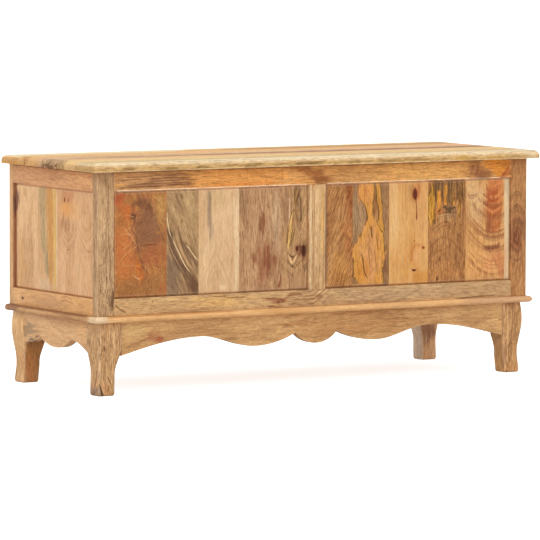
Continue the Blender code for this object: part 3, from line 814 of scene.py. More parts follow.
class MetalFinish:
    """Plain satin brass for the hinges and their screws."""

    SCRATCH = (0.02, 0.0004, 0.0004)
    SPOT = (0.006, 0.006, 0.006)
    STOPS = ((0.35, Shade(150, 118, 66)), (0.62, Shade(196, 164, 104)))
    SPOT_DETAIL, SPOT_SHARE = 3.0, 0.6
    WEAR, GLOSSES = (0.6, 1.0), (0.24, 0.42)
    BUMP = (0.15, 0.0002)

    def build(self) -> bpy.types.Material:
        """Make the material, with fine scratches and a few dull spots.

        Returns:
            The finished material.
        """
        material, desk, shader = Desk.material("hinge_brass")
        place = desk.node("ShaderNodeTexCoord").outputs["Object"]
        brushed = desk.noise(place, self.SCRATCH)
        dull = desk.noise(place, self.SPOT, self.SPOT_DETAIL)
        worn = desk.math("ADD", brushed, desk.times(dull, self.SPOT_SHARE))
        desk.fill(shader, {
            "Base Color": desk.ramp(dull, self.STOPS), "Metallic": 1.0,
            "Roughness": desk.remap(worn, *self.WEAR, *self.GLOSSES),
        })
        desk.bump(shader, brushed, *self.BUMP)
        return material


def corners(node: str) -> tuple[Vector, Vector]:
    """Give the low and the high corner of a node's solid."""
    low, high = (Vector(corner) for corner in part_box(node))
    return low, high


def placed(name: str, shape: bmesh.types.BMesh) -> bpy.types.Object:
    """Turn a shape into an object in the scene, and use the shape up.

    Args:
        name: The name of the object and of its mesh.
        shape: Its shape.

    Returns:
        The object.
    """
    mesh = bpy.data.meshes.new(name)
    shape.to_mesh(mesh)
    shape.free()
    made = bpy.data.objects.new(name, mesh)
    bpy.context.scene.collection.objects.link(made)
    return made


class Joinery:
    """Turns plain solids and fresh meshes into finished pieces on the frame."""

    WELD = 1.0e-5
    ROUND_STEPS = 3
    FLAT_TURN = 0.5
    SMOOTH_TURN = 40.0

    def __init__(self, frame: dict) -> None:
        """Take the loaded frame, and note which finish slot each node has in its record."""
        self.frame = frame
        self.slots = {part["node"]: part["material_slot"] for part in frame["record"]["subparts"]}
        self.finish = TimberFinish(GrainGroup())

    def copy_of(self, node: str) -> bmesh.types.BMesh:
        """Give a node's solid as a clean mesh with whole flat faces.

        Args:
            node: The node's name.

        Returns:
            The mesh.
        """
        shape = bmesh.new()
        shape.from_mesh(self.frame["nodes"][node].data)
        bmesh.ops.remove_doubles(shape, verts=shape.verts, dist=self.WELD)
        bmesh.ops.dissolve_limit(shape, angle_limit=math.radians(self.FLAT_TURN), verts=shape.verts,
                                 edges=shape.edges)
        return shape

    def ease(self, shape: bmesh.types.BMesh, width: float, steps: int = 2, angle: float = 24.0,
             chosen: Callable[[Vector, Vector], bool] | None = None) -> None:
        """Round the sharp edges of a mesh and note their faces as its arrises.

        Args:
            shape: The mesh to change.
            width: How far the rounding reaches from the edge.
            steps: Its number of facets.
            angle: The least turn, in degrees, of an edge that counts as sharp.
            chosen: An optional test on an edge's two ends.
        """
        layer = shape.faces.layers.float.get(ARRIS) or shape.faces.layers.float.new(ARRIS)
        sharp = [
            edge for edge in shape.edges
            if len(edge.link_faces) == 2 and edge.calc_face_angle() > math.radians(angle)
            and (chosen is None or chosen(*(vert.co for vert in edge.verts)))
        ]
        made = bmesh.ops.bevel(shape, geom=sharp, offset=width, offset_type="OFFSET",
                               segments=steps, profile=0.5, affect="EDGES", clamp_overlap=True)
        for face in made["faces"]:
            face[layer] = 1.0

    def add(self, name: str, shape: bmesh.types.BMesh, body: Body, timber: Timber,
            cutters: Iterable[bpy.types.Object] = ()) -> None:
        """Finish a wooden piece: its object, finish, node and body.

        Args:
            name: The node that it stands for.
            shape: Its mesh, which is used up.
            body: What it rides on.
            timber: Its finish.
            cutters: Solids that are cut from it, and then removed.
        """
        bmesh.ops.recalc_face_normals(shape, faces=shape.faces)
        piece = placed(f"{name}_wood", shape)
        for cutter in cutters:
            step = piece.modifiers.new(cutter.name, "BOOLEAN")
            step.operation = "DIFFERENCE"
            step.object = cutter
        if piece.modifiers:
            self.settle(piece)
        for cutter in cutters:
            bpy.data.objects.remove(cutter, do_unlink=True)
        piece.data.shade_smooth()
        piece.data.set_sharp_from_angle(angle=math.radians(self.SMOOTH_TURN))
        piece.data.materials.clear()
        piece.data.materials.append(self.finish.build(name, timber))
        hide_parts(name)
        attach(piece, body.value)
        LOG.info("%s: %d faces on %s", piece.name, len(piece.data.polygons), body.value)

    @staticmethod
    def settle(piece: bpy.types.Object) -> None:
        """Apply an object's modifiers to its mesh."""
        graph = bpy.context.evaluated_depsgraph_get()
        result = bpy.data.meshes.new_from_object(piece.evaluated_get(graph))
        piece.modifiers.clear()
        piece.data = result

    @staticmethod
    def box(low: Sequence[float], high: Sequence[float]) -> bmesh.types.BMesh:
        """Give a box between two corners.

        Args:
            low: The low corner.
            high: The high one.

        Returns:
            The box.
        """
        shape = bmesh.new()
        low, high = Vector(low), Vector(high)
        place = Matrix.Translation((low + high) / 2) @ Matrix.Diagonal((*(high - low), 1.0))
        bmesh.ops.create_cube(shape, size=1.0, matrix=place)
        return shape

    @staticmethod
    def loft(rings: Sequence[Sequence[Point]]) -> bmesh.types.BMesh:
        """Join closed rings of points and cap the two ends.

        Args:
            rings: The rings, with as many points each.

        Returns:
            The closed solid.
        """
        shape = bmesh.new()
        loops = [[shape.verts.new(point) for point in ring] for ring in rings]
        shape.faces.new(loops[0])
        shape.faces.new(loops[-1])
        for near, far in zip(loops, loops[1:]):
            for i in range(len(near)):
                j = (i + 1) % len(near)
                shape.faces.new((near[i], near[j], far[j], far[i]))
        bmesh.ops.recalc_face_normals(shape, faces=shape.faces)
        return shape


def eased(place: float, start: float, end: float, first: float, last: float) -> float:
    """Give a value on an S curve between two places, level at both."""
    share = (place - start) / (end - start)
    return first + (last - first) * (1 - math.cos(math.pi * share)) / 2


@dataclass
class Legs:
    """Four bandsawn legs: stock wider one way, sawn along a curve that both outer faces share."""

    shop: Joinery
    timbers: dict[str, Timber]
    height: float = 0.152
    top: tuple[float, float] = (0.056, 0.0465)
    knee: tuple[float, float] = (0.116, 0.0028)
    ankle: tuple[float, float] = (0.043, 0.0045)
    ankle_sizes: tuple[float, float] = (0.0385, 0.0370)
    foot: float = 0.0018
    foot_sizes: tuple[float, float] = (0.0390, 0.0375)
    sole: float = 0.0045
    hollow_top: float = 0.102
    rounding: float = 0.0034
    rounding_turn: float = 50.0
    steps: int = 14
    sole_steps: int = 4
    turned: tuple[str, ...] = ("front_right_leg",)

    def inset(self, height: float) -> float:
        """Give how far the outer faces lie behind the leg's top edge at a height.

        Args:
            height: The height above the floor.

        Returns:
            The distance.
        """
        knee, bulge = self.knee
        if height >= knee:
            return -bulge * math.cos(math.pi / 2 * (height - knee) / (self.height - knee))
        if height >= self.ankle[0]:
            return eased(height, self.ankle[0], knee, self.ankle[1], -bulge)
        return eased(height, 0.0, self.ankle[0], self.foot, self.ankle[1])

    def reach(self, height: float, way: int) -> float:
        """Give how far an inner face lies behind the top edge, the wide way (0) or the narrow (1).

        Args:
            height: The height above the floor.
            way: Which inner face it is.

        Returns:
            The distance.
        """
        ankle = self.ankle[1] + self.ankle_sizes[way]
        if height >= self.hollow_top:
            return self.top[way]
        if height >= self.ankle[0]:
            return eased(height, self.ankle[0], self.hollow_top, ankle, self.top[way])
        return eased(height, 0.0, self.ankle[0], self.foot + self.foot_sizes[way], ankle)

    def sections(self) -> list[tuple[float, float, tuple[float, float]]]:
        """Give the height, outer inset and two inner reaches of each section, from the sole up.

        Returns:
            The sections, from the sole up.
        """
        drawn = []
        for step in range(self.sole_steps):
            turn = math.pi / 2 * step / self.sole_steps
            drawn.append((self.sole * (1 - math.cos(turn)), self.sole, self.sole * (1 - math.sin(turn))))
        knots = (self.sole, self.ankle[0], self.hollow_top, self.height)
        for near, far in zip(knots, knots[1:]):
            places = [near + (far - near) * step / self.steps for step in range(self.steps)]
            drawn += [(place, place, 0.0) for place in places]
        drawn.append((self.height, self.height, 0.0))
        return [
            (height, self.inset(place) + shrink,
             (self.reach(place, 0) - shrink, self.reach(place, 1) - shrink))
            for height, place, shrink in drawn
        ]

    def build(self) -> None:
        """Make the four legs in the places of their solids."""
        for name, timber in self.timbers.items():
            low, high = corners(name)
            side = -1 if low.x < 0 else 1
            inward = 1 if low.y < 0 else -1
            bulge = self.knee[1]
            corner_x = (low.x + bulge) if side < 0 else (high.x - bulge)
            corner_y = (low.y + bulge) if inward > 0 else (high.y - bulge)
            ways = (1, 0) if name in self.turned else (0, 1)
            rings = []
            for height, near, reaches in self.sections():
                far_x, far_y = (reaches[way] for way in ways)
                rings.append([
                    (corner_x - side * a, corner_y + inward * b, height)
                    for a, b in ((near, near), (far_x, near), (far_x, far_y), (near, far_y))
                ])
            shape = self.shop.loft(rings)
            self.shop.ease(shape, self.rounding, self.shop.ROUND_STEPS, self.rounding_turn,
                           lambda one, two: abs(one.z - two.z) > NEAR)
            self.shop.add(name, shape, Body.CHEST, timber)


@dataclass
class Aprons:
    """The scalloped boards between the legs, and the plain one at the back."""

    shop: Joinery
    timbers: dict[str, Timber]
    top: float = 0.152
    front_end: float = 0.070
    arch: tuple[float, float] = (0.283, 0.0385)
    lobe: tuple[float, float] = (0.150, 0.0645)
    cusp: tuple[float, float] = (0.0513, 0.041)
    middle_drop: float = 0.065
    side_end: float = 0.065
    side_cusp: float = 0.065
    side_cusp_drops: tuple[float, float] = (0.0435, 0.048)
    steps: int = 22
    rounding: float = 0.0012
    rounding_turn: float = 60.0
    top_margin: float = 0.001

    @staticmethod
    def arc(place: float, bottom: float, edge: float, low: float, high: float) -> float:
        """Give the drop on a round lobe that is low at its bottom and high at its edge."""
        half, rise = abs(edge - bottom), low - high
        radius = (half * half + rise * rise) / (2 * rise)
        return low - radius + math.sqrt(radius * radius - (place - bottom) ** 2)

    @staticmethod
    def arched(place: float, crown: float, half: float, high: float, end: float) -> float:
        """Give the drop on a half arch, from its crown to the board's end."""
        return end + (high - end) * math.cos(math.pi / 2 * (place - crown) / (half - crown))

    def front_drop(self, place: float, half: float) -> float:
        """Give the front apron's depth left or right of its middle.

        Args:
            place: How far from the middle it is.
            half: Half its length.

        Returns:
            The drop below the board's top.
        """
        place = abs(place)
        if place <= self.cusp[0]:
            return self.arc(place, 0.0, self.cusp[0], self.middle_drop, self.cusp[1])
        if place <= self.lobe[0]:
            return self.arc(place, self.lobe[0], self.cusp[0], self.lobe[1], self.cusp[1])
        if place <= self.arch[0]:
            return eased(place, self.lobe[0], self.arch[0], self.lobe[1], self.arch[1])
        return self.arched(place, self.arch[0], half, self.arch[1], self.front_end)

    def side_drop(self, place: float, half: float) -> float:
        """Give a side apron's depth before or behind its middle: an arch in front, a lobe behind.

        Args:
            place: How far behind the middle it is.
            half: Half its length.

        Returns:
            The drop below the board's top.
        """
        cusp, drop = self.side_cusp, self.side_cusp_drops[0 if place < 0 else 1]
        if abs(place) <= cusp:
            return self.arc(abs(place), 0.0, cusp, self.middle_drop, drop)
        if place > 0:
            return self.arc(place, half, cusp, self.side_end, drop)
        return self.arched(-place, cusp, half, drop, self.side_end)

    def outline(self, middle: float, half: float, drop: Callable[[float, float], float],
                knots: Sequence[float]) -> list[tuple[float, float]]:
        """Give the board's outline as points along and up, anticlockwise from its lower left.

        Args:
            middle: The board's middle.
            half: Half its length.
            drop: Gives its depth at a place.
            knots: The places where the curve changes, from the middle out.

        Returns:
            The points.
        """
        places = [0.0]
        for near, far in zip(knots, knots[1:]):
            places += [near + (far - near) * step / self.steps for step in range(1, self.steps + 1)]
        places = [-place for place in reversed(places[1:])] + places
        lower = [(middle + place, self.top - drop(place, half)) for place in places]
        return [*lower, (middle + half, self.top), (middle - half, self.top)]

    def build(self) -> None:
        """Make the three scalloped boards and ease the plain one."""
        for name, timber in self.timbers.items():
            if name == "back_apron":
                shape = self.shop.copy_of(name)
                self.shop.ease(shape, self.rounding)
                self.shop.add(name, shape, Body.CHEST, timber)
                continue
            low, high = corners(name)
            along = 0 if name == "front_apron" else 1
            middle = (low[along] + high[along]) / 2
            half = (high[along] - low[along]) / 2
            if along == 0:
                drop, knots = self.front_drop, (0.0, self.cusp[0], self.lobe[0], self.arch[0], half)
            else:
                drop, knots = self.side_drop, (0.0, self.side_cusp, half)
            outline = self.outline(middle, half, drop, knots)
            rings = [
                [(a, face, up) if along == 0 else (face, a, up) for a, up in outline]
                for face in (low[1 - along], high[1 - along])
            ]
            shape = self.shop.loft(rings)
            self.shop.ease(shape, self.rounding, 2, self.rounding_turn,
                           lambda one, two: abs(one[1 - along] - two[1 - along]) < self.shop.WELD
                           and min(one.z, two.z) < self.top - self.top_margin)
            self.shop.add(name, shape, Body.CHEST, timber)


@dataclass
class Moulding:
    """The round-nosed ring under the case, mitred at its front corners."""

    shop: Joinery
    timbers: dict[str, Timber]
    width: float = 0.060
    mitre_gap: float = 0.0003
    arris: float = 0.0008
    steps: int = 20

    def section(self, thickness: float) -> list[tuple[float, float]]:
        """Give the section as distance in from the outer edge and height.

        Args:
            thickness: The moulding's height.

        Returns:
            The points, from the lower edge up.
        """
        radius = thickness / 2
        points = []
        for step in range(self.steps + 1):
            turn = math.pi * (step / self.steps - 0.5)
            points.append((radius * (1 - math.cos(turn)), radius * (1 + math.sin(turn))))
        return [*points, (self.width, thickness), (self.width, 0.0)]

    def build(self) -> None:
        """Make the nosed lengths and ease the plain back one."""
        low, high = corners("front_moulding")
        edge = max(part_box("right_moulding")[1][0], high.x)
        section = self.section(high.z - low.z)
        gap = self.mitre_gap
        rings = [
            [(side * (edge - inset - gap), low.y + inset, low.z + up) for inset, up in section]
            for side in (-1, 1)
        ]
        self.shop.add("front_moulding", self.shop.loft(rings), Body.CHEST,
                      self.timbers["front_moulding"])
        for name, side in (("left_moulding", -1), ("right_moulding", 1)):
            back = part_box(name)[1][1]
            rings = [
                [(side * (edge - inset), low.y + inset + gap, low.z + up) for inset, up in section],
                [(side * (edge - inset), back, low.z + up) for inset, up in section],
            ]
            self.shop.add(name, self.shop.loft(rings), Body.CHEST, self.timbers[name])
        shape = self.shop.copy_of("back_moulding")
        self.shop.ease(shape, self.arris)
        self.shop.add("back_moulding", shape, Body.CHEST, self.timbers["back_moulding"])


@dataclass
class Case:
    """The four framed walls with their plank panels, and the floor."""

    shop: Joinery
    timbers: dict[str, Timber]
    joint_gap: float = 0.0003
    arris: float = 0.0006
    corner: float = 0.0016
    margin: float = 0.0014
    closing: float = 0.47
    opening: tuple[float, float] = (0.2010, 0.4225)

    # painted light on the panel margins: a painted highlight along each board's top margin and painted
    # shade along its bottom one
    RUBBED: ClassVar[Shade] = Shade(244, 212, 180)
    WAXED: ClassVar[Shade] = Shade(112, 72, 46)
    RUBBED_BAND: ClassVar[tuple[float, float]] = (0.0010, 0.0017)
    WAXED_BAND: ClassVar[tuple[float, float]] = (0.0006, 0.0013)
    OVERRUN: ClassVar[float] = 0.1

    def board(self, name: str, timber: Timber) -> None:
        """Make a panel board: its margins rounded, its glued joints closed.

        Args:
            name: The board's node.
            timber: Its timber.
        """
        along = 0 if name.startswith(("front", "back")) else 1
        family = [node for node in self.timbers if node.rpartition("_")[0] == name.rpartition("_")[0]]
        number = int(name.rpartition("_")[2])
        low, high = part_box(name)
        shape = self.shop.copy_of(name)
        joints = []
        if number > 1:
            joints.append((low[along], -1))
        if number < len(family):
            joints.append((high[along], 1))
        for place, side in joints:
            for vert in shape.verts:
                if abs(vert.co[along] - place) < NEAR:
                    vert.co[along] += side * self.joint_gap * self.closing
        lit = self.margins(low[along], high[along], timber)
        closed = [place for place, _ in joints]
        self.shop.ease(shape, self.margin, self.shop.ROUND_STEPS, chosen=lambda one, two: not any(
            max(abs(one[along] - place), abs(two[along] - place)) < 4 * NEAR for place in closed))
        self.shop.add(name, shape, Body.CHEST, lit)

    def margins(self, low: float, high: float, timber: Timber) -> Timber:
        """Paint a highlight along a board's top margin, and paint shade along its bottom one.

        Args:
            low: Where the board starts.
            high: Where it ends.
            timber: Its timber.

        Returns:
            The timber with both margins.
        """
        start, end = low - self.OVERRUN, high + self.OVERRUN
        (down, highlight_half), (up, shade_half) = self.RUBBED_BAND, self.WAXED_BAND
        top, bottom = self.opening[1] - down, self.opening[0] + up
        return replace(timber, figure=(
            *timber.figure,
            Vein(((start, top), (end, top)), highlight_half, self.RUBBED, level=True, ragged=0.1),
            Vein(((start, bottom), (end, bottom)), shade_half, self.WAXED, 0.6, level=True),
        ))

    def member(self, name: str, timber: Timber) -> None:
        """Make a rail, stile, muntin or floor board with eased arrises.

        Args:
            name: The piece's node.
            timber: Its timber.
        """
        shape = self.shop.copy_of(name)
        low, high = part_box(name)
        if name.endswith("_stile"):
            outer_x = min(low[0], -high[0])
            face_y = low[1] if name.startswith("front") else high[1]
            self.shop.ease(shape, self.corner, self.shop.ROUND_STEPS, chosen=lambda one, two: all(
                abs(abs(end.x) + outer_x) < 2 * NEAR and abs(end.y - face_y) < 2 * NEAR
                for end in (one, two)))
        self.shop.ease(shape, self.arris, 2)
        self.shop.add(name, shape, Body.CHEST, timber)

    def build(self) -> None:
        """Make every piece of the case."""
        for name, timber in self.timbers.items():
            if "board" in name and not name.startswith("floor"):
                self.board(name, timber)
            else:
                self.member(name, timber)


@dataclass
class Lid:
    """Five planks with a rounded rim, on two battens."""

    shop: Joinery
    timbers: dict[str, Timber]
    rounding: float = 0.0118
    rounding_turn: float = 60.0
    steps: int = 10
    arris: float = 0.0022
    batten_arris: float = 0.0009
    wear: float = 0.5
    closing: float = 0.00006
    seat: tuple[float, float, float] = (0.0642, 0.0168, 0.0018)
    overcut: float = 0.004

    def plank(self, name: str, timber: Timber, rows: Sequence[str]) -> None:
        """Make a plank, with the hinge seats cut in the last one.

        Args:
            name: The plank's node.
            timber: Its timber.
            rows: All planks, from the front.
        """
        low, high = corners(name)
        first, last = name == rows[0], name == rows[-1]
        rim = [place for place, outside in ((low.y, first), (high.y, last)) if outside]
        near = low.y - (0.0 if first else self.closing)
        far = high.y + (0.0 if last else self.closing)
        shape = self.shop.box((low.x, near, low.z), (high.x, far, high.z))
        middle = (low.z + high.z) / 2

        def outer(one: Vector, two: Vector) -> bool:
            """Tell the lid's outer edges from the joints."""
            return abs(one.x - two.x) < NEAR or any(
                max(abs(one.y - place), abs(two.y - place)) < NEAR for place in rim)

        self.shop.ease(shape, self.rounding, self.steps, self.rounding_turn,
                       lambda one, two: min(one.z, two.z) >= middle and outer(one, two))
        self.shop.ease(shape, self.arris, self.shop.ROUND_STEPS, self.rounding_turn,
                       lambda one, two: max(one.z, two.z) <= middle and outer(one, two))
        layer = shape.faces.layers.float[ARRIS]
        for face in shape.faces:
            face[layer] *= self.wear
        cutters = [self.seat_cutter(number, high.y, low.z) for number in (1, 2) if last]
        self.shop.add(name, shape, Body.LID, timber, cutters)

    def seat_cutter(self, number: int, back: float, bottom: float) -> bpy.types.Object:
        """Make the box that cuts a hinge leaf's seat into the lid's underside.

        Args:
            number: The hinge's number.
            back: Where the lid ends.
            bottom: The height of its underside.

        Returns:
            The box.
        """
        length, reach, depth = self.seat
        low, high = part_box(f"hinge_{number}_lid_leaf")
        middle = (low[0] + high[0]) / 2
        return placed(f"seat_{number}", self.shop.box(
            (middle - length / 2, back - reach, bottom - self.overcut),
            (middle + length / 2, back + self.overcut, bottom + depth)))

    def build(self) -> None:
        """Make the planks and the battens."""
        rows = [name for name in self.timbers if name.startswith("lid_board")]
        for name in rows:
            self.plank(name, self.timbers[name], rows)
        for name in self.timbers:
            if name not in rows:
                shape = self.shop.copy_of(name)
                self.shop.ease(shape, self.batten_arris)
                self.shop.add(name, shape, Body.LID, self.timbers[name])


@dataclass
class Hinges:
    """Two butt hinges: leaves and pins in brass, and the screws that hold them."""

    frame: dict
    leaf_screws: int = 3
    slot_seed: int = 7
    leaf_centre: float = 0.0078
    spread: float = 0.0235
    stagger: float = 0.0032
    head_radius: float = 0.0029
    head_height: float = 0.0012
    head_taper: float = 0.55
    head_rise: float = 0.00022
    head_facets: int = 24
    slot_size: Point = (0.008, 0.0007, 0.0010)

    def head(self) -> bpy.types.Object:
        """Make one countersunk screw head with a straight slot, facing +Z.

        Returns:
            The head, which the screws are copied from.
        """
        shape = bmesh.new()
        middle = self.head_rise - self.head_height / 2
        bmesh.ops.create_cone(shape, cap_ends=True, segments=self.head_facets,
                              radius1=self.head_radius * self.head_taper,
                              radius2=self.head_radius, depth=self.head_height,
                              matrix=Matrix.Translation((0.0, 0.0, middle)))
        head = placed("screw_head", shape)
        slot = bmesh.new()
        bmesh.ops.create_cube(slot, size=1.0, matrix=Matrix.Translation(
            (0.0, 0.0, self.head_rise)) @ Matrix.Diagonal((*self.slot_size, 1.0)))
        cutter = placed("screw_slot", slot)
        step = head.modifiers.new("slot", "BOOLEAN")
        step.object = cutter
        Joinery.settle(head)
        bpy.data.objects.remove(cutter, do_unlink=True)
        return head

    def screw_tree(self, brass: bpy.types.Material) -> bpy.types.NodeTree:
        """Make the Geometry Nodes tree that sets a row of screw heads on a leaf.

        Args:
            brass: The finish of the heads.

        Returns:
            The tree, with the leaf's middle, spread, stagger, flip and head as named inputs.
        """
        tree = bpy.data.node_groups.new("leaf_screws", "GeometryNodeTree")
        face = tree.interface
        for title, kind in (("Middle", "Vector"), ("Spread", "Float"), ("Stagger", "Float"),
                            ("Flip", "Float"), ("Head", "Object")):
            face.new_socket(name=title, in_out="INPUT", socket_type=f"NodeSocket{kind}")
        face.new_socket(name="Screws", in_out="OUTPUT", socket_type="NodeSocketGeometry")
        desk = Desk(tree)
        given = desk.node("NodeGroupInput").outputs
        row = desk.node("GeometryNodeMeshLine", mode="OFFSET", count_mode="TOTAL")
        step = desk.joined(given["Spread"], 0.0, 0.0)
        desk.fill(row, {
            "Count": self.leaf_screws, "Offset": step,
            "Start Location": desk.vector("SUBTRACT", given["Middle"], step),
        })
        odd = desk.math("MODULO", desk.node("GeometryNodeInputIndex").outputs[0], 2.0)
        aside = desk.joined(0.0, desk.times(odd, given["Stagger"]), 0.0)
        set_off = desk.node("GeometryNodeSetPosition")
        desk.fill(set_off, {"Geometry": row.outputs[0], "Offset": aside})
        turn = desk.node("FunctionNodeRandomValue", data_type="FLOAT")
        desk.fill(turn, {2: 0.0, 3: math.pi, "Seed": self.slot_seed})
        source = desk.node("GeometryNodeObjectInfo", transform_space="ORIGINAL")
        desk.feed(source.inputs["Object"], given["Head"])
        heads = desk.node("GeometryNodeInstanceOnPoints")
        desk.fill(heads, {
            "Points": set_off.outputs[0], "Instance": source.outputs["Geometry"],
            "Rotation": desk.joined(given["Flip"], 0.0, turn.outputs[1]),
        })
        real = desk.node("GeometryNodeRealizeInstances")
        desk.feed(real.inputs[0], heads.outputs[0])
        dressed = desk.node("GeometryNodeSetMaterial")
        desk.fill(dressed, {"Material": brass, "Geometry": real.outputs[0]})
        desk.feed(desk.node("NodeGroupOutput").inputs[0], dressed.outputs[0])
        return tree

    def screws(self, number: int, body: Body, tree: bpy.types.NodeTree,
               head: bpy.types.Object) -> None:
        """Set one leaf's three screws, flush in its face.

        Args:
            number: The hinge's number.
            body: What the leaf rides on.
            tree: The tree that sets the heads.
            head: One head.
        """
        leaf = f"hinge_{number}_{'case' if body is Body.CHEST else 'lid'}_leaf"
        low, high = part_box(leaf)
        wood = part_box("back_top_rail" if body is Body.CHEST else "lid_board_5")
        up = body is Body.CHEST
        level = wood[1][2] if up else wood[0][2]
        values = {
            "Middle": ((low[0] + high[0]) / 2, wood[1][1] - self.leaf_centre, level),
            "Spread": self.spread, "Stagger": -self.stagger, "Flip": 0.0 if up else math.pi,
            "Head": head,
        }
        carrier = bpy.data.objects.new(f"hinge_{number}_{body.value}_screws",
                                       bpy.data.meshes.new(f"{leaf}_screws"))
        bpy.context.scene.collection.objects.link(carrier)
        step = carrier.modifiers.new("screws", "NODES")
        step.node_group = tree
        for item in tree.interface.items_tree:
            if item.item_type == "SOCKET" and item.in_out == "INPUT":
                step[item.identifier] = values[item.name]
        Joinery.settle(carrier)
        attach(carrier, body.value)
        LOG.info("%s: %d faces on %s", carrier.name, len(carrier.data.polygons), body.value)

    def build(self) -> None:
        """Dress the hinges' solids and set their screws."""
        brass = MetalFinish().build()
        for node, solid in self.frame["nodes"].items():
            if node.startswith("hinge_"):
                for holder in solid.material_slots:
                    holder.material = brass
                LOG.info("%s: keeps its solid, in brass", node)
        head = self.head()
        tree = self.screw_tree(brass)
        for number in (1, 2):
            for body in Body:
                self.screws(number, body, tree, head)
        bpy.data.objects.remove(head, do_unlink=True)


@dataclass(frozen=True)
class Camera:
    """Where the photograph was taken from, in degrees, metres and millimetres."""

    azimuth: float = -31.47
    elevation: float = 4.57
    roll: float = 0.17
    distance: float = 10.828
    target: Point = (0.00385, 0.0150, 0.2281)
    lens: float = 337.93
    sensor: float = 36.0
    farthest: float = 400.0

    def build(self) -> None:
        """Add the camera."""
        turn, rise, roll = (math.radians(v) for v in (self.azimuth, self.elevation, self.roll))
        back = Vector((math.sin(turn) * math.cos(rise), -math.cos(turn) * math.cos(rise),
                       math.sin(rise)))
        right = Vector((math.cos(turn), math.sin(turn), 0.0))
        up = back.cross(right)
        right, up = (math.cos(roll) * right + math.sin(roll) * up,
                     math.cos(roll) * up - math.sin(roll) * right)
        data = bpy.data.cameras.new("camera")
        data.lens = self.lens
        data.sensor_width = self.sensor
        data.clip_end = self.farthest
        camera = bpy.data.objects.new("camera", data)
        camera.matrix_world = Matrix.Translation(Vector(self.target) + back * self.distance) @ (
            Matrix((right, up, back)).transposed().to_4x4())
        bpy.context.scene.collection.objects.link(camera)
        bpy.context.scene.camera = camera


@dataclass(frozen=True)
class Studio:
    """A pale floor, an even sky and two wide soft lamps."""

    sky: float = 0.69
    key: float = 1.10
    fill: float = 0.50
    floor_half: float = 150.0
    floor_grey: float = 0.86
    floor_roughness: float = 0.95
    floor_lift: float = 0.74
    key_spread: float = 60.0
    fill_spread: float = 80.0

    WHITE: ClassVar[tuple[float, ...]] = (1.0, 1.0, 1.0, 1.0)
    KEY_WAY: ClassVar[Point] = (0.72, 0.55, -0.62)
    FILL_WAY: ClassVar[Point] = (-0.35, 0.85, -0.45)

    def lamp(self, name: str, strength: float, spread: float, towards: Point) -> None:
        """Add a soft lamp at infinity that shines along a direction.

        Args:
            name: Its name.
            strength: Its strength.
            spread: How wide it looks, in degrees.
            towards: The way it shines.
        """
        data = bpy.data.lights.new(name, "SUN")
        data.energy = strength
        data.angle = math.radians(spread)
        lamp = bpy.data.objects.new(name, data)
        lamp.rotation_euler = Vector(towards).to_track_quat("-Z", "Y").to_euler()
        bpy.context.scene.collection.objects.link(lamp)

    def world(self) -> None:
        """Light evenly from all round, and show white to the camera and in reflections."""
        world = bpy.data.worlds.new("studio")
        bpy.context.scene.world = world
        world.use_nodes = True
        desk = Desk(world.node_tree)
        path = desk.node("ShaderNodeLightPath").outputs
        seen = desk.math("MAXIMUM", path["Is Camera Ray"], desk.math(
            "MAXIMUM", path["Is Glossy Ray"], path["Is Transmission Ray"]))
        desk.fill(world.node_tree.nodes["Background"], {
            "Color": self.WHITE,
            "Strength": desk.math("MULTIPLY_ADD", seen, 1.0 - self.sky, self.sky),
        })

    def floor(self) -> None:
        """Lay the floor: pale, lifted to white for the camera, with its shadow kept."""
        shape = bmesh.new()
        bmesh.ops.create_grid(shape, x_segments=1, y_segments=1, size=self.floor_half)
        floor = placed("floor", shape)
        material, desk, shader = Desk.material("studio_floor")
        seen = desk.node("ShaderNodeLightPath").outputs["Is Camera Ray"]
        desk.fill(shader, {
            "Base Color": (*(self.floor_grey,) * 3, 1.0), "Roughness": self.floor_roughness,
            "Specular IOR Level": 0.0, "Emission Color": self.WHITE,
            "Emission Strength": desk.times(seen, self.floor_lift),
        })
        floor.data.materials.append(material)

    def build(self) -> None:
        """Set the view, the sky, the floor and the lamps."""
        bpy.context.scene.view_settings.view_transform = "Standard"
        self.world()
        self.floor()
        self.lamp("key", self.key, self.key_spread, self.KEY_WAY)
        self.lamp("fill", self.fill, self.fill_spread, self.FILL_WAY)


class Palette(Enum):
    """The planks' families of colour, as pale, middle and deep shades."""

    HONEY = (Shade(226, 172, 108), Shade(203, 148, 88), Shade(170, 112, 60))
    STRAW = (Shade(230, 190, 135), Shade(210, 166, 112), Shade(180, 132, 82))
    RUST = (Shade(216, 142, 84), Shade(192, 112, 62), Shade(148, 84, 50))
    UMBER = (Shade(202, 156, 108), Shade(174, 130, 88), Shade(136, 96, 62))
    ASH = (Shade(200, 170, 132), Shade(174, 142, 104), Shade(138, 106, 74))
    CREAM = (Shade(242, 206, 156), Shade(226, 184, 134), Shade(200, 152, 102))

    def timber(self, run: Run, **changes: object) -> Timber:
        """Give a timber in this family."""
        return Timber(*self.value, run=run, **changes)


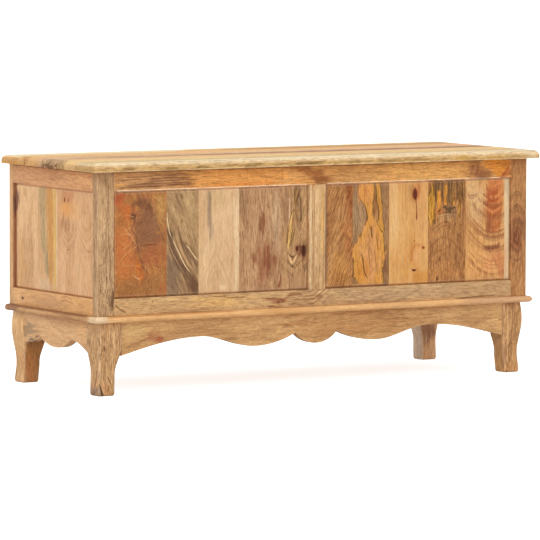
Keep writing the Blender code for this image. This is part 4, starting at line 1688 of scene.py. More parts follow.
class Yard:
    """Picks the timber of every plank: those in view one by one, the rest from their families."""

    AMBER = Shade(196, 128, 74)
    GLAZE = (1.14, 1.12, 1.06)
    PITCH, RINGS = (0.006, 0.011), (0.3, 0.6)
    PITH = ((-0.03, 0.03), (0.03, 0.09))
    TAPER, PORES = (0.03, 0.09), (0.35, 0.7)
    MARKS, MARK_SOFT = 3, 0.7
    MARK_LONG, MARK_WIDE = (0.15, 0.5), (0.12, 0.35)
    MARK_STRENGTHS = (0.3, 0.6)
    DARKER, PALER = 0.85, 1.06

    def __init__(self, slots: dict[str, str]) -> None:
        """Take each node's finish slot."""
        self.slots = slots

    @staticmethod
    def run_of(node: str) -> Run:
        """Tell which way a piece's grain runs from what it is.

        Args:
            node: The piece's node.

        Returns:
            The run of its grain.
        """
        if node.endswith("_leg"):
            return Run.UPRIGHT_FRONT
        if node.startswith(("lid_board", "floor_board")):
            return Run.LENGTHWISE_FLAT
        if node.endswith("batten"):
            return Run.DEEPWISE_FLAT
        side = node.startswith(("left_", "right_"))
        if "board" in node or node.endswith(("_stile", "_muntin")):
            return Run.UPRIGHT_SIDE if side else Run.UPRIGHT_FRONT
        return Run.DEEPWISE if side else Run.LENGTHWISE

    def pick(self, node: str) -> Timber:
        """Give a plank's timber, with a figure seeded by its name where it has none of its own.

        Args:
            node: The plank's node.

        Returns:
            Its timber.
        """
        if node in IN_VIEW:
            return IN_VIEW[node]
        chance = random.Random(node)
        run = self.run_of(node)
        family = Palette[self.slots[node].removesuffix("_wood").upper()]
        timber = family.timber(
            run, pitch=chance.uniform(*self.PITCH), rings=chance.uniform(*self.RINGS),
            pith=tuple(chance.uniform(*ends) for ends in self.PITH),
            taper=chance.uniform(*self.TAPER), pores=chance.uniform(*self.PORES), glaze=self.GLAZE)
        return replace(timber, figure=self.chance_marks(node, run, timber, chance))

    @classmethod
    def chance_marks(cls, node: str, run: Run, timber: Timber,
                     chance: random.Random) -> tuple[Mark, ...]:
        """Scatter a few streaks and patches on a plank that the photograph doesn't show.

        Args:
            node: The plank's node.
            run: Which way its grain runs.
            timber: Its timber.
            chance: Where the draws come from.

        Returns:
            The marks.
        """
        low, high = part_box(node)
        face = timber.face
        marks = []
        for _ in range(cls.MARKS):
            at = tuple(chance.uniform(low[axis], high[axis]) for axis in face.value[:2])
            half = [0.0, 0.0]
            for index, axis in enumerate(face.value[:2]):
                long = axis == run.value[0]
                reach = (high[axis] - low[axis]) / 2
                half[index] = reach * chance.uniform(*(cls.MARK_LONG if long else cls.MARK_WIDE))
            shade = chance.choice(
                (timber.deep.scaled(cls.DARKER), timber.pale.scaled(cls.PALER), cls.AMBER))
            marks.append(Mark(
                at, tuple(half), shade, chance.uniform(*cls.MARK_STRENGTHS), soft=cls.MARK_SOFT))
        return tuple(marks)


UPRIGHT, SIDEWISE, LEVEL = Run.UPRIGHT_FRONT, Run.UPRIGHT_SIDE, Run.LENGTHWISE


def shade_of(code: int) -> Shade:
    """Read a colour that is written in hexadecimal."""
    return Shade(code >> 16, code >> 8 & 255, code & 255)


def metres(*sizes: float) -> tuple[float, ...]:
    """Turn millimetres into metres."""
    return tuple(size / 1000 for size in sizes)


def mark(x: float, up: float, wide: float, high: float, shade: int, strength: float = 0.8,
         lean: float = 0.0, **more: object) -> Mark:
    """Draw a patch, with its middle and half lengths in millimetres.

    Args:
        x: The middle's place across the face.
        up: The middle's place up the face.
        wide: Half the length across.
        high: Half the length up.
        shade: The colour, in hexadecimal.
        strength: How much it covers.
        lean: How far it leans, in degrees.
        more: Whatever else a mark takes.

    Returns:
        The mark, in metres.
    """
    return Mark(metres(x, up), metres(wide, high), shade_of(shade), strength, lean, **more)


def vein(places: Sequence[tuple[float, ...]], half: float, shade: int, strength: float = 0.8,
         level: bool | None = None, rim: int | None = None, **more: object) -> Vein:
    """Draw a vein through places in millimetres.

    Args:
        places: Where it goes, across and up, with the half width there where it changes.
        half: Half its width.
        shade: The colour, in hexadecimal.
        strength: How much it covers.
        level: Whether it runs across; where it isn't said, the longer way counts.
        rim: The colour of its outline, if it has one.
        more: Whatever else a vein takes.

    Returns:
        The vein, in metres.
    """
    if level is None:
        wide, high = (max(place[way] for place in places) - min(place[way] for place in places)
                      for way in (0, 1))
        level = wide > high
    return Vein(tuple(metres(*place) for place in places), half / 1000, shade_of(shade), strength, level,
                rim=None if rim is None else shade_of(rim), **more)


def arches(x: float, up: float, wide: float, high: float, pitch: float, bow: float, shade: int,
           strength: float = 0.6, point: float = 1.8, lean: float = 0.0) -> Arches:
    """Draw nested arches of grain, with every length in millimetres.

    Args:
        x: The middle's place across the face.
        up: The middle's place up the face.
        wide: Half the length across.
        high: Half the length up.
        pitch: The lines' spacing.
        bow: How far a line falls at the side.
        shade: The colour, in hexadecimal.
        strength: How much they cover.
        point: How round the arches are.
        lean: How far they lean, in degrees.

    Returns:
        The arches, in metres.
    """
    return Arches(metres(x, up), metres(wide, high), pitch / 1000, bow / 1000, shade_of(shade), strength,
                  point, lean)


def knot(x: float, up: float, wide: float, high: float, heart: int, halo: int,
         **more: object) -> Knot:
    """Draw a knot, with its middle and half lengths in millimetres.

    Args:
        x: The middle's place across the face.
        up: The middle's place up the face.
        wide: Half the length across.
        high: Half the length up.
        heart: The heart's colour, in hexadecimal.
        halo: The colour round it.
        more: Whatever else a knot takes.

    Returns:
        The knot, in metres.
    """
    return Knot(metres(x, up), metres(wide, high), shade_of(heart), shade_of(halo), **more)


def plank(pale: int, middle: int, deep: int, run: Run, *parts: Mark | Vein | Arches | Knot,
          pitch: float = 7.5, pith: tuple[float, float] = (20, 60), wander: float = 16,
          **look: object) -> Timber:
    """Describe a plank, with its lengths in millimetres.

    Args:
        pale: The pale shade, in hexadecimal.
        middle: The middle shade.
        deep: The deep shade.
        run: Which way the grain runs.
        parts: The figure and knots drawn on it, in order.
        pitch: The growth rings' spacing.
        pith: How far the pith lies across and behind the plank's middle.
        wander: How far the rings wander.
        look: Whatever else a timber takes.

    Returns:
        The timber, in metres.
    """
    return Timber(
        shade_of(pale), shade_of(middle), shade_of(deep), run, pitch / 1000, pith=metres(*pith),
        wander=wander / 1000, knots=tuple(part for part in parts if isinstance(part, Knot)),
        figure=tuple(part for part in parts if not isinstance(part, Knot)), **look)


FRONT_LEFT_PANEL = {
    "front_left_board_1": plank(
        0xCE9856, 0xBA7A44, 0x925A34, UPRIGHT,
        mark(-464, 298, 28, 75, 0xD07A3E, soft=0.7), mark(-475, 405, 14, 10, 0xBC5E34, 0.75),
        mark(-456, 378, 20, 18, 0xCC6E34, 0.7), mark(-474, 357, 13, 11, 0xAA703A, 0.6),
        mark(-378, 385, 15, 36, 0xCA9854, 0.75), mark(-398, 226, 36, 22, 0xA06C3E, 0.65),
        mark(-460, 222, 30, 18, 0xA2703E, 0.7), mark(-375, 222, 7, 14, 0xBE6E3C, 0.65),
        mark(-411, 335, 32, 58, 0x926244, 0.88, soft=0.4), mark(-428, 258, 9, 24, 0xD67A34, 0.75, -12.0),
        mark(-400, 288, 27, 24, 0xB66A3C, 0.75), mark(-442, 369, 5, 5, 0x5A3824),
        vein(((-453, 388), (-438, 396), (-420, 393), (-399, 380), (-392, 366)), 7, 0x784C32, 0.65,
            soft=0.8, ragged=0.5),
        vein(((-426, 306), (-407, 310), (-386, 310)), 1.1, 0x68402A, 0.75, ragged=0.8),
        vein(((-438, 340), (-434, 305), (-426, 279), (-415, 250)), 3, 0x7E5034, 0.6),
        vein(((-434, 306), (-446, 324), (-467, 351)), 1.2, 0xE4A870, 0.55),
        vein(((-480, 274), (-452, 298), (-432, 309)), 1.1, 0xE4A870, 0.5, ragged=0.8),
        vein(((-480, 326), (-465, 334), (-444, 322)), 1.1, 0xE2AA72, 0.6),
        vein(((-472, 262), (-456, 269), (-440, 262)), 1, 0xE2A86E, 0.5),
        vein(((-448, 249), (-438, 244), (-427, 238)), 1.3, 0xECB67C, 0.75),
        vein(((-416, 264), (-405, 252)), 1.3, 0xD6A274, 0.6, level=True),
        vein(((-396, 410), (-379, 398), (-368, 378)), 1.2, 0xE2B470, 0.55, level=True),
        *(vein(((x, z), (x + 10, z + rise), (x + 22, z + 2.4 * rise)), 0.9, shade, 0.5, level=True,
            ragged=0.8) for x, z, rise, shade in ((-480, 318, -4, 0xE0A068), (-474, 300, 5, 0xE4A870),
            (-470, 288, 7, 0xD8945C), (-466, 340, 4, 0xE0A064), (-477, 366, 4, 0xD69660),
            (-462, 374, -3, 0xDE985C), (-476, 246, 4, 0xCE945C), (-462, 234, -3, 0xD69E62),
            (-430, 274, -6, 0xE2A066), (-404, 296, -4, 0x7E4E32), (-408, 280, 3, 0xD89262),
            (-400, 268, -3, 0x885434), (-412, 330, 4, 0xB8825C), (-420, 352, -3, 0xB07A56),
            (-406, 366, 5, 0x764E34), (-396, 342, 4, 0xA87650), (-392, 394, -8, 0xE2B470),
            (-384, 372, -6, 0xD8A662), (-400, 234, 4, 0xC48C58), (-420, 216, 3, 0x7E5230),
            (-386, 216, 5, 0xC48650))),
        pitch=12, rings=0.2, pith=(-20, 50), taper=0.12, wander=50, curl=0.06, pores=0.2, fibre=0.6),
    "front_left_board_2": plank(
        0xC6A678, 0xB29066, 0x88684A, UPRIGHT,
        mark(-350, 250, 18, 50, 0x846A54, 0.85), mark(-350, 212, 22, 18, 0x94785E, 0.75),
        mark(-302, 221, 17, 20, 0x704E36), mark(-325, 222, 12, 20, 0x927054, 0.5),
        vein(((-364, 352), (-355, 310), (-344, 285), (-324, 254), (-305, 226)), 8.5, 0x624634, soft=0.7,
            ragged=0.9),
        vein(((-326, 318), (-310, 291), (-296, 268), (-288, 256)), 5, 0x765A42, 0.65, ragged=0.9),
        vein(((-346, 332), (-335, 303), (-317, 273), (-300, 252)), 3.4, 0xCAA070, 0.75),
        vein(((-365, 380), (-358, 336), (-347, 312), (-336, 293), (-323, 268), (-306, 247)), 1.1,
            0xF4D6A8, 0.95, fade=0.08, ragged=0.1),
        *(vein(((-362 + d, 350), (-350 + d, 305), (-330 + d, 268), (-308 + d, 238)), 1.1, shade, 0.7,
            ragged=0.8) for d, shade in ((-6.5, 0xC49E74), (3.5, 0x543A2A), (12, 0x684C36),
            (18.5, 0xCEA87A), (24, 0x5C4230))),
        vein(((-320, 308), (-311, 299), (-298, 282), (-288, 271)), 1.4, 0xECCC9E, 0.85, ragged=0.1),
        mark(-329, 407, 2, 5, 0x78583A, 0.7), mark(-329, 355, 2.6, 5, 0x7C5C3E, 0.7),
        pitch=7, rings=0.35, pith=(50, 20), taper=0.02, wander=20, lean=22.0, pores=0.4, fibre=0.7,
        glaze=(1.1, 1.06, 1.02)),
    "front_left_board_3": plank(
        0xEECB9C, 0xE1B88A, 0xCAA072, UPRIGHT,
        mark(-281, 340, 6, 100, 0xD4AA78, 0.55), mark(-242, 398, 22, 22, 0xCEAA74, 0.55),
        mark(-196, 310, 6, 120, 0xF2D2A6, 0.6),
        vein(((-262, 426), (-262, 377), (-258, 331), (-260, 306)), 4.6, 0x9C8268, soft=0.8, ragged=0.8),
        arches(-247, 262, 36, 74, 8, 75, 0xC4986A, 0.42, 1.2), mark(-229, 214, 10, 6, 0xF0CE9E),
        pitch=10, rings=0.3, pith=(10, 90), taper=0.05, pores=0.3, fibre=0.4),
    "front_left_board_4": plank(
        0xCEAA82, 0xBC946E, 0x9E7654, UPRIGHT,
        mark(-182, 390, 10, 30, 0x9A7A58, 0.65), mark(-100, 345, 13, 62, 0xD0B28E),
        mark(-150, 224, 34, 16, 0xC0926C, 0.5), mark(-127, 266, 28, 34, 0xA6704E, 0.6),
        mark(-133, 339, 7, 18, 0x8C583A, ragged=1.2), mark(-125, 268, 15, 20, 0x945E40, 0.6, ragged=1.2),
        mark(-122, 258, 7, 22, 0x864E36, 0.75, ragged=1.2),
        mark(-151, 271, 7, 10, 0x905C40, 0.65, ragged=1.2),
        mark(-107, 267, 11, 9, 0x925C40, 0.65, ragged=1.2),
        vein(((-139, 420), (-137, 395), (-131, 368)), 1.4, 0xDCB890, 0.7),
        vein(((-150, 400), (-147, 350), (-149, 310)), 1.2, 0xD8B48C, 0.5),
        vein(((-86, 236), (-88, 226), (-92.5, 206)), 1.9, 0x925236, 0.9),
        pitch=6, rings=0.25, pith=(-10, 60), taper=0.07, pores=0.7, fibre=0.8, glaze=(1.08, 1.0, 0.92)),
    "front_left_board_5": plank(
        0xCCA87C, 0xB49068, 0x8E6C4C, UPRIGHT,
        mark(-75, 385, 10, 55, 0x967458, 0.7), mark(-28, 365, 9, 50, 0xD0AC7A, 0.6),
        mark(-58, 224, 26, 22, 0xBC9672, 0.6), arches(-55, 262, 34, 32, 10, -30, 0x6C5036, 0.6, 1.1),
        arches(-42, 345, 16, 70, 12, -40, 0x785C3E, 0.45, 1.2),
        vein(((-67, 400), (-66.5, 370), (-67, 345)), 2, 0xD6B496),
        vein(((-48, 424, 3.4), (-51.5, 395, 2.8), (-56, 366, 2.2)), 0, 0xD0A668, soft=0.5, ragged=1.3,
            fade=0.06, rim=0x6C502E),
        vein(((-55.5, 372, 2), (-60, 356, 4.6), (-61.5, 337, 7), (-66, 308, 5.8), (-70.5, 286, 2.2)), 0,
            0xDEB874, 0.9, soft=0.4, ragged=1.2, fade=0.06, rim=0x785A34),
        vein(((-54.5, 334), (-61, 309), (-66, 290)), 2, 0xDAB068, rim=0x684C2A),
        vein(((-59.5, 352), (-62.5, 330), (-67, 306)), 0.9, 0x966C36),
        mark(-44, 402, 1.6, 10, 0x503822, 0.85, 22.0),
        vein(((-41, 404), (-39.5, 385), (-38, 357), (-38, 340)), 2.1, 0x685034),
        mark(-40, 280, 6, 11, 0x96624A, 0.75),
        vein(((-71, 281), (-65, 268), (-59.5, 260), (-54.5, 266), (-46, 276)), 2.8, 0xE6C08E, 0.95,
            ragged=0.3),
        vein(((-76, 276), (-66.5, 259), (-59.5, 251.5), (-52, 258), (-42, 272)), 1.7, 0x60462E),
        vein(((-68, 287), (-59, 272), (-48, 282)), 1.4, 0x5C3E2A, 0.75),
        mark(-40, 292, 13, 3, 0x764834, 0.75), knot(-47.8, 288.5, 3.8, 6, 0x542610, 0x8C5A42),
        knot(-31.8, 284, 6.4, 11.2, 0x461E0C, 0x7C4830, reach=1.5),
        pitch=6, rings=0.4, pith=(0, 50), taper=0.06, pores=0.5, fibre=0.7, glaze=(1.2, 1.1, 0.98)),
}

FRONT_RIGHT_PANEL = {
    "front_right_board_1": plank(
        0xD0A06C, 0xB88454, 0x96663E, UPRIGHT,
        mark(82, 330, 9, 75, 0xB67646, 0.6), mark(72, 322, 14, 18, 0xC88852, 0.55),
        mark(62, 235, 24, 34, 0xD09858, 0.7), arches(71, 290, 19, 40, 10, 18, 0x94623C, 0.55, 1.0),
        arches(66, 214, 24, 22, 8, 12, 0xAC7442),
        # the vein at 24.5 across is painted shade on the board beside the muntin
        vein(((83, 426, 7.5), (83, 405, 7), (85, 380, 4.5), (86, 345, 2)), 0, 0x9C5830, 0.75, soft=0.9,
            fade=0.05, ragged=0.8), vein(((24.5, 430), (24.5, 310), (24.5, 195)), 2.2, 0x7C5232, 0.6),
        pitch=6, rings=0.4, pith=(-50, 30), taper=0.03, lean=-20.0, pores=0.5, fibre=1.0,
        glaze=(1.08, 1.02, 0.88)),
    "front_right_board_2": plank(
        0xBEA082, 0xA88666, 0x8E6C4E, UPRIGHT,
        mark(105, 352, 16, 46, 0xB49A7E, 0.75), mark(177, 330, 7, 110, 0xA67E5C, 0.7),
        mark(149, 362, 12, 36, 0xA07046), vein(((97, 405), (103, 366), (113, 332)), 0.9, 0x70583E, 0.6),
        vein(((94, 360), (97, 330), (104, 312)), 0.9, 0x70583E, 0.6),
        vein(((154, 428, 5), (156, 388, 5.8), (161, 363, 5.2), (160, 335, 8), (155, 312, 13)), 0,
            0xD6A254, 0.95, soft=0.2, ragged=0.7, fade=0.05, rim=0x684E26),
        vein(((123, 430, 20), (125.5, 390, 17.5), (130.5, 373, 10), (133.5, 353, 7.8), (136, 340, 12),
            (138, 325, 21), (137, 308, 30), (133, 290, 37), (130, 265, 40.5), (129, 235, 39.5),
            (133, 218, 34), (143, 202, 22)), 0, 0xDCA458, 0.97, soft=0.08, ragged=0.2, fade=0.03,
            rim=0x684E26), mark(123, 402, 15, 24, 0xDEA068),
        mark(133, 272, 24, 52, 0xDCA87A, ragged=1.0), mark(112, 236, 12, 22, 0xD49240, 0.6, ragged=1.2),
        vein(((135.5, 332), (137, 318), (139, 302)), 1.8, 0x604422, 0.9),
        vein(((110, 276), (115, 262), (119, 238), (130, 216)), 1.3, 0x5C4222, 0.85),
        vein(((150, 318), (152, 296), (156, 272)), 1, 0x705028, 0.7),
        vein(((128, 300), (131, 270), (137, 236)), 0.9, 0x966A38, 0.6),
        vein(((144, 286), (149, 255), (153, 222)), 0.9, 0x886032, 0.65),
        vein(((104, 262), (104, 240), (112, 222)), 0.9, 0x78562C, 0.6),
        mark(174, 240, 7, 15, 0x7E5A44, ragged=1.2), mark(114, 204.5, 26, 4, 0xC69A70, 0.7),
        pitch=8, rings=0.3, pith=(0, 60), taper=0.05, pores=0.3, fibre=0.7, glaze=(1.05, 0.92, 0.7)),
    "front_right_board_3": plank(
        0xF2C688, 0xE4B070, 0xCE9658, UPRIGHT,
        mark(193, 360, 10, 70, 0xF2CC96, 0.65), mark(262, 340, 13, 70, 0xE4AE76, 0.55),
        mark(237, 402, 6, 20, 0xC4945E, 0.65), mark(256.5, 402, 4, 18, 0xCA8050, 0.7),
        mark(262, 214, 24, 15, 0xDA9844, 0.7), mark(224, 228, 14, 22, 0xE0A65C, 0.55),
        mark(256, 285, 12, 6, 0xD28852, 0.65), mark(245, 264, 20, 28, 0xE29C50, 0.55, ragged=1.0),
        mark(254, 262, 11, 17, 0xEAB680, 0.7),
        vein(((263, 292), (250, 288), (243, 279), (238, 266), (240, 248)), 3, 0xCC8642, 0.65),
        vein(((248.5, 388, 2.4), (250, 378, 1.3), (250.8, 362, 0.8), (251, 348, 1.6), (251, 339, 0.4)),
            0, 0x7A3218, 0.92, fade=0.02, ragged=0.1), mark(246, 293.5, 1.4, 2.2, 0x8C502A, 0.9),
        vein(((238.5, 237.5), (245, 231), (251.5, 237.5)), 1.9, 0x702C16, 0.95, fade=0.08, ragged=0.1),
        mark(245, 232, 2.8, 2.2, 0x542012, 0.95, ragged=0.2),
        knot(247, 393.5, 5.8, 11.2, 0x60200C, 0xBE703C, reach=1.5),
        knot(269, 279, 3.8, 2.9, 0x7E3618, 0xCE844C, reach=1.6),
        pitch=12, rings=0.25, pith=(0, 100), taper=0.04, pores=0.2, fibre=0.4, glaze=(0.95, 0.88, 0.78)),
    "front_right_board_4": plank(
        0xC49A6E, 0xB2865C, 0x926A46, UPRIGHT,
        mark(328, 222, 46, 20, 0xC29262, 0.6), arches(320, 262, 52, 80, 8, 45, 0x805A3C, 0.5, 1.9),
        mark(330, 397, 54, 38, 0x92724C, 0.85, soft=0.25), mark(338, 350, 24, 12, 0x967A62, 0.75),
        mark(308, 356, 12, 8, 0xC67A3E),
        *(vein(((x, 428), (x + 0.6, 400), (x, low)), half, 0x58422C, ragged=0.9)
            for x, low, half in ((299, 372, 2), (306, 395, 1.2), (316, 372, 2.2), (333, 368, 2.2),
            (340, 385, 1.3), (353, 372, 1.8), (366.5, 366, 1.2))),
        *(vein(((x, high, 1.2), (x, (high + low) / 2, half), (x - 1, low, 1)), 0, shade, 0.85,
            soft=0.45, ragged=1.5, fade=0.12, rim=0x705430)
            for x, high, low, half, shade in ((290, 426, 320, 6, 0xCCA044),
            (309, 402, 352, 6.2, 0xDEA04A), (323.5, 414, 364, 4.8, 0xDAA048),
            (346, 398, 364, 4.2, 0xD49C4A), (359, 400, 336, 3.2, 0xCC9C4A))),
        vein(((298, 350), (312, 358), (321, 364), (334, 358), (349, 362), (362, 352)), 2.6, 0x543E2A,
            0.75, ragged=1.8),
        vein(((300, 343), (315, 351), (328, 353), (345, 352), (358, 345)), 1.2, 0x684E36, 0.65,
            ragged=1.5),
        *(vein(((304, z - 3), (316, z), (328, z + 1), (342, z - 5)), 0.9, 0xD8BC94, 0.6, level=True,
            ragged=0.6) for z in (346.5, 341.5, 336.5)),
        vein(((299, 310), (308, 326.5), (324, 332), (339, 326.5), (348, 308)), 1.1, 0x6A4C32, 0.65,
            ragged=0.8),
        vein(((303, 306), (312, 319.5), (324, 324), (337, 319.5), (345, 302)), 1, 0x684C32, 0.65),
        vein(((284, 246), (302, 268), (324, 274), (338, 286)), 1.3, 0x825C3E, 0.5, ragged=0.9),
        vein(((352, 300), (360, 282), (366, 262)), 2.2, 0x8E6444, 0.5),
        mark(304, 210, 1.9, 4.2, 0x462C1C, 0.9),
        pitch=8, rings=0.4, pith=(0, 35), taper=0.35, wander=20, pores=0.5, fibre=1.0,
        glaze=(1.18, 1.0, 0.74)),
    "front_right_board_5": plank(
        0xE8B882, 0xD8A26C, 0xBE8454, UPRIGHT,
        mark(403, 376, 26, 42, 0xDEB488, 0.85), mark(400, 244, 26, 44, 0xE4AC70, 0.75),
        mark(440, 236, 22, 28, 0xDE9C6A, 0.65),
        vein(((452, 430, 16), (451, 396, 21), (450, 360, 22), (448, 330, 18), (446, 300, 15)), 0,
            0xCE7A46, soft=0.35, ragged=0.2, fade=0.08),
        arches(447, 368, 26, 64, 6.5, -14, 0x9C4628, 0.7, 1.5),
        arches(449, 296, 80, 96, 9, -66, 0x884E30, 0.6, 2.0),
        arches(449, 268, 80, 80, 5, -50, 0x9E6442, 0.4, 2.0),
        arches(394, 386, 17, 26, 7, -14, 0xAC8460, 0.6, 2.0), mark(439, 321, 9.5, 18, 0x925438),
        vein(((421, 274), (436, 272.5), (450, 273.5), (468, 280)), 5, 0x7E462E, 0.85, ragged=0.6),
        vein(((426, 392), (441, 387), (462, 394)), 3, 0xAA5430, 0.75),
        vein(((428, 376), (443, 372), (464, 381)), 3.4, 0xAC522E, 0.75),
        mark(466, 234, 10, 26, 0xC27A52, 0.65), mark(456, 252, 16, 8, 0xCE8256, 0.5),
        vein(((388, 391), (393, 387), (400, 391)), 1.1, 0x70503A),
        pitch=8.5, rings=0.25, pith=(-75, 15), taper=0.25, wander=14, pores=0.3, fibre=0.6,
        glaze=(1.12, 1.1, 0.94)),
    "front_right_board_6": plank(
        0xF2DCBA, 0xEACEA6, 0xD6B084, UPRIGHT,
        mark(479.5, 250, 3, 50, 0xE2A87C, 0.6), mark(486, 400, 6, 24, 0xCEBC9A, 0.6),
        pitch=5, rings=0.2, pores=0.15, fibre=0.3, glaze=(0.97, 0.93, 0.86)),
}

FRONT_FRAME = {
    "front_left_stile": plank(
        0xCEAC82, 0xBE9A72, 0xA27E5A, UPRIGHT,
        vein(((-503, 462), (-506, 360), (-501, 270), (-505, 170)), 0.9, 0x7E5A3C, 0.7),
        vein(((-513, 400), (-510, 330), (-514, 250)), 0.8, 0x846040, 0.6),
        vein(((-170, 460), (-169, 330), (-171, 170)), 1.3, 0x86664A, 0.6, face=Face.SIDE),
        mark(-495, 196, 4, 22, 0x6A482E, 0.85, 6.0), mark(-512, 440, 1.4, 8, 0x76563C, 0.7),
        pitch=6.5, rings=0.35, pith=(4, 30), taper=0.04, wander=12, pores=0.9, fibre=0.8,
        glaze=(1.18, 1.16, 1.12)),
    "front_right_stile": plank(
        0xCC9A68, 0xB88456, 0x966844, UPRIGHT,
        mark(508, 225, 14, 30, 0xC08C5E, 0.5), mark(505, 308, 20, 56, 0xA4704C, 0.75),
        arches(506, 326, 22, 40, 5.5, 18, 0x80543A, 0.65),
        arches(506, 256, 20, 30, 6, -14, 0x885A3E, 0.5), arches(507, 356, 22, 52, 7.5, 24, 0x784E36),
        mark(504, 290, 16.5, 28, 0x744630, 0.85, soft=0.2, ragged=0.3),
        mark(505, 290, 12.8, 22.5, 0xB0764E, 0.9, soft=0.25, ragged=0.3),
        mark(504.8, 292, 9, 17, 0x683C2A, 0.9, soft=0.3, ragged=0.35),
        mark(505.6, 294, 5.4, 11, 0xA06846, 0.85, soft=0.35, ragged=0.3),
        mark(505, 297, 2, 4.4, 0x603828, soft=0.4, ragged=0.3),
        pitch=6, rings=0.35, pith=(0, 40), taper=0.05, pores=0.6, fibre=0.8, glaze=(1.06, 1.0, 0.88)),
    "front_muntin": plank(
        0xECC692, 0xDAAE7A, 0xBE905E, UPRIGHT,
        mark(-16.5, 310, 3, 150, 0xF4D4A6, 0.75), mark(-4, 330, 3, 100, 0xEECA9A, 0.6),
        vein(((-12.5, 430), (-13, 310), (-12, 195)), 1, 0xB08458, 0.6),
        vein(((15, 430), (16.2, 310), (15.5, 195)), 1.1, 0xB48658, 0.6),
        mark(11.5, 345, 3.6, 50, 0xEAB66A, 0.65),
        vein(((-9, 430), (-7.6, 350), (-9, 280), (-8, 200)), 1.3, 0xB68A5C, 0.65),
        vein(((4, 420), (5.5, 330), (3, 210)), 1, 0xBC9060, 0.5), mark(-9, 419.5, 4, 3, 0xD68644, 0.7),
        pitch=8, rings=0.35, pith=(-20, 30), taper=0.02, wander=8, pores=0.4, fibre=0.7),
    "front_top_rail": plank(
        0xDEA466, 0xCE9256, 0xB27640, LEVEL,
        mark(-420, 444, 100, 32, 0xBC8A60, 0.85, soft=0.35),
        mark(-195, 440, 122, 32, 0xDA9652, 0.75, soft=0.3), mark(-200, 428, 110, 5, 0xCE8040, 0.6),
        mark(90, 441, 75, 24, 0xBE8A56, 0.65), mark(272, 440, 105, 24, 0xD8A05E, 0.75),
        vein(((-492, 434, 3), (-430, 434, 4), (-391, 437, 8), (-345, 437, 10), (-316, 435, 8),
            (-290, 437, 3)), 0, 0x8A5E42, 0.7, soft=0.8, ragged=1.3, fade=0.14),
        *(vein(((a, z), ((a + b) / 2, z + 1.6), (b, z + rise)), 1, 0x70462E, 0.7, level=True, ragged=0.8)
            for a, b, z, rise in ((-420, -296, 445, -3), (-400, -286, 440, 1), (-450, -300, 435, 2),
            (-370, -292, 431, 1), (-470, -340, 450, 2), (-480, -380, 429, 1), (-360, -280, 450, -2),
            (-480, -420, 444, -1))), vein(((-400, 453), (-350, 454.5), (-310, 452)), 2, 0x885C3E, 0.65),
        vein(((-490, 427), (-440, 429), (-400, 424)), 1, 0x8C5E3E, 0.6),
        *(mark(x, z, 1.1, half, 0xA66436, 0.5) for x, z, half in ((-297, 457, 5), (-241, 449, 6),
            (-172, 450, 10), (-87, 441, 17))),
        # painted highlight along the rail's lower edge, above each panel
        *(vein(((low, 423.4), ((low + high) / 2, 423.4), (high, 423.4)), 1, 0xFADCBE, 0.75, level=True,
            fade=0.01, ragged=0.1) for low, high in ((-487, -22.5), (22.5, 487))),
        # painted shadow along the rail's top, under the lid
        vein(((-493, 461.2), (0, 461.2), (493, 461.2)), 1.2, 0x7C482A, 0.7, fade=0.01, ragged=0.3),
        mark(-14, 446, 40, 13, 0x96582E, 0.75, 20.0), mark(8, 432, 13, 12, 0x88522C, 0.7),
        mark(397, 440, 18, 22, 0x96603C, 0.85, -35.0), mark(412, 427, 13, 6.5, 0x80523A, 0.85),
        mark(476, 434, 18, 14, 0xB26834, soft=0.5), mark(428, 434, 16, 14, 0x9C643C, 0.75, soft=0.5),
        vein(((456, 464, 37), (456, 450, 31), (457, 438, 19), (458, 424, 4)), 0, 0xD48838, 0.95,
            soft=0.22, ragged=0.7, fade=0.02),
        vein(((464, 425), (474, 433), (488, 452)), 3.4, 0xAC5022, level=True, soft=0.8),
        vein(((432, 448), (450, 442), (474, 445)), 0.9, 0xB26828, 0.6, ragged=0.8),
        *(vein(((384 + d, 424), (394 + d, 437), (398 + d, 456)), 1, shade, 0.6)
            for d, shade in ((-6, 0x784A2C), (2, 0xC4824C), (8, 0x70442A), (15, 0xBA743C))),
        pitch=6.5, rings=0.35, pith=(12, 30), taper=0.03, wander=14, pores=0.4, fibre=0.78,
        glaze=(1.31, 1.35, 1.26)),
    "front_bottom_rail": plank(
        0xD8AE7C, 0xC69A6A, 0xAA7E54, LEVEL,
        mark(-420, 184, 75, 18, 0xD0A26E, 0.6), mark(-245, 186, 70, 12, 0xDEAC6A, 0.7),
        mark(230, 185, 190, 18, 0xC29A72, 0.65),
        vein(((-491, 192), (-480, 181), (-462, 172)), 2, 0x7C5434),
        vein(((-275, 199), (-230, 195), (-205, 192), (-165, 194)), 1.2, 0x92623E, 0.7),
        mark(-72, 188, 28, 5, 0x925836, 0.75, -24.0, ragged=1.8),
        mark(-98, 180, 16, 7, 0x965C3C, 0.7, ragged=1.8),
        mark(6, 187, 8, 4, 0x8C5436, 0.7, -30.0, ragged=1.2),
        arches(-10, 186, 55, 20, 4.5, -18, 0x92623E, 0.65, 1.3, -18.0),
        arches(100, 184, 60, 18, 5, -12, 0xA07450, 0.55),
        mark(-400, 192.5, 1.6, 1.6, 0x5C3C26, 0.85, ragged=0.2),
        mark(-226, 196.5, 1.6, 1.4, 0x6E462C, 0.75, ragged=0.2),
        vein(((350, 166.5), (400, 169), (460, 170)), 1.1, 0x6E422C, 0.75),
        knot(-96, 178.5, 4, 2.4, 0x7E482E, 0xA86C48),
        pitch=6.5, rings=0.35, pith=(-10, 40), taper=0.04, wander=14, pores=0.5, fibre=0.75,
        glaze=(1.12, 1.18, 1.2)),
}

STRIP = (
    vein(((172.5, 426), (172.5, 310), (172.5, 198)), 6, 0xA66C48, 0.85, soft=0.25, ragged=0.2,
        fade=0.01, face=Face.SIDE), mark(173, 380, 8, 18, 0x70483C, 0.75, ragged=1.4, face=Face.SIDE),
)

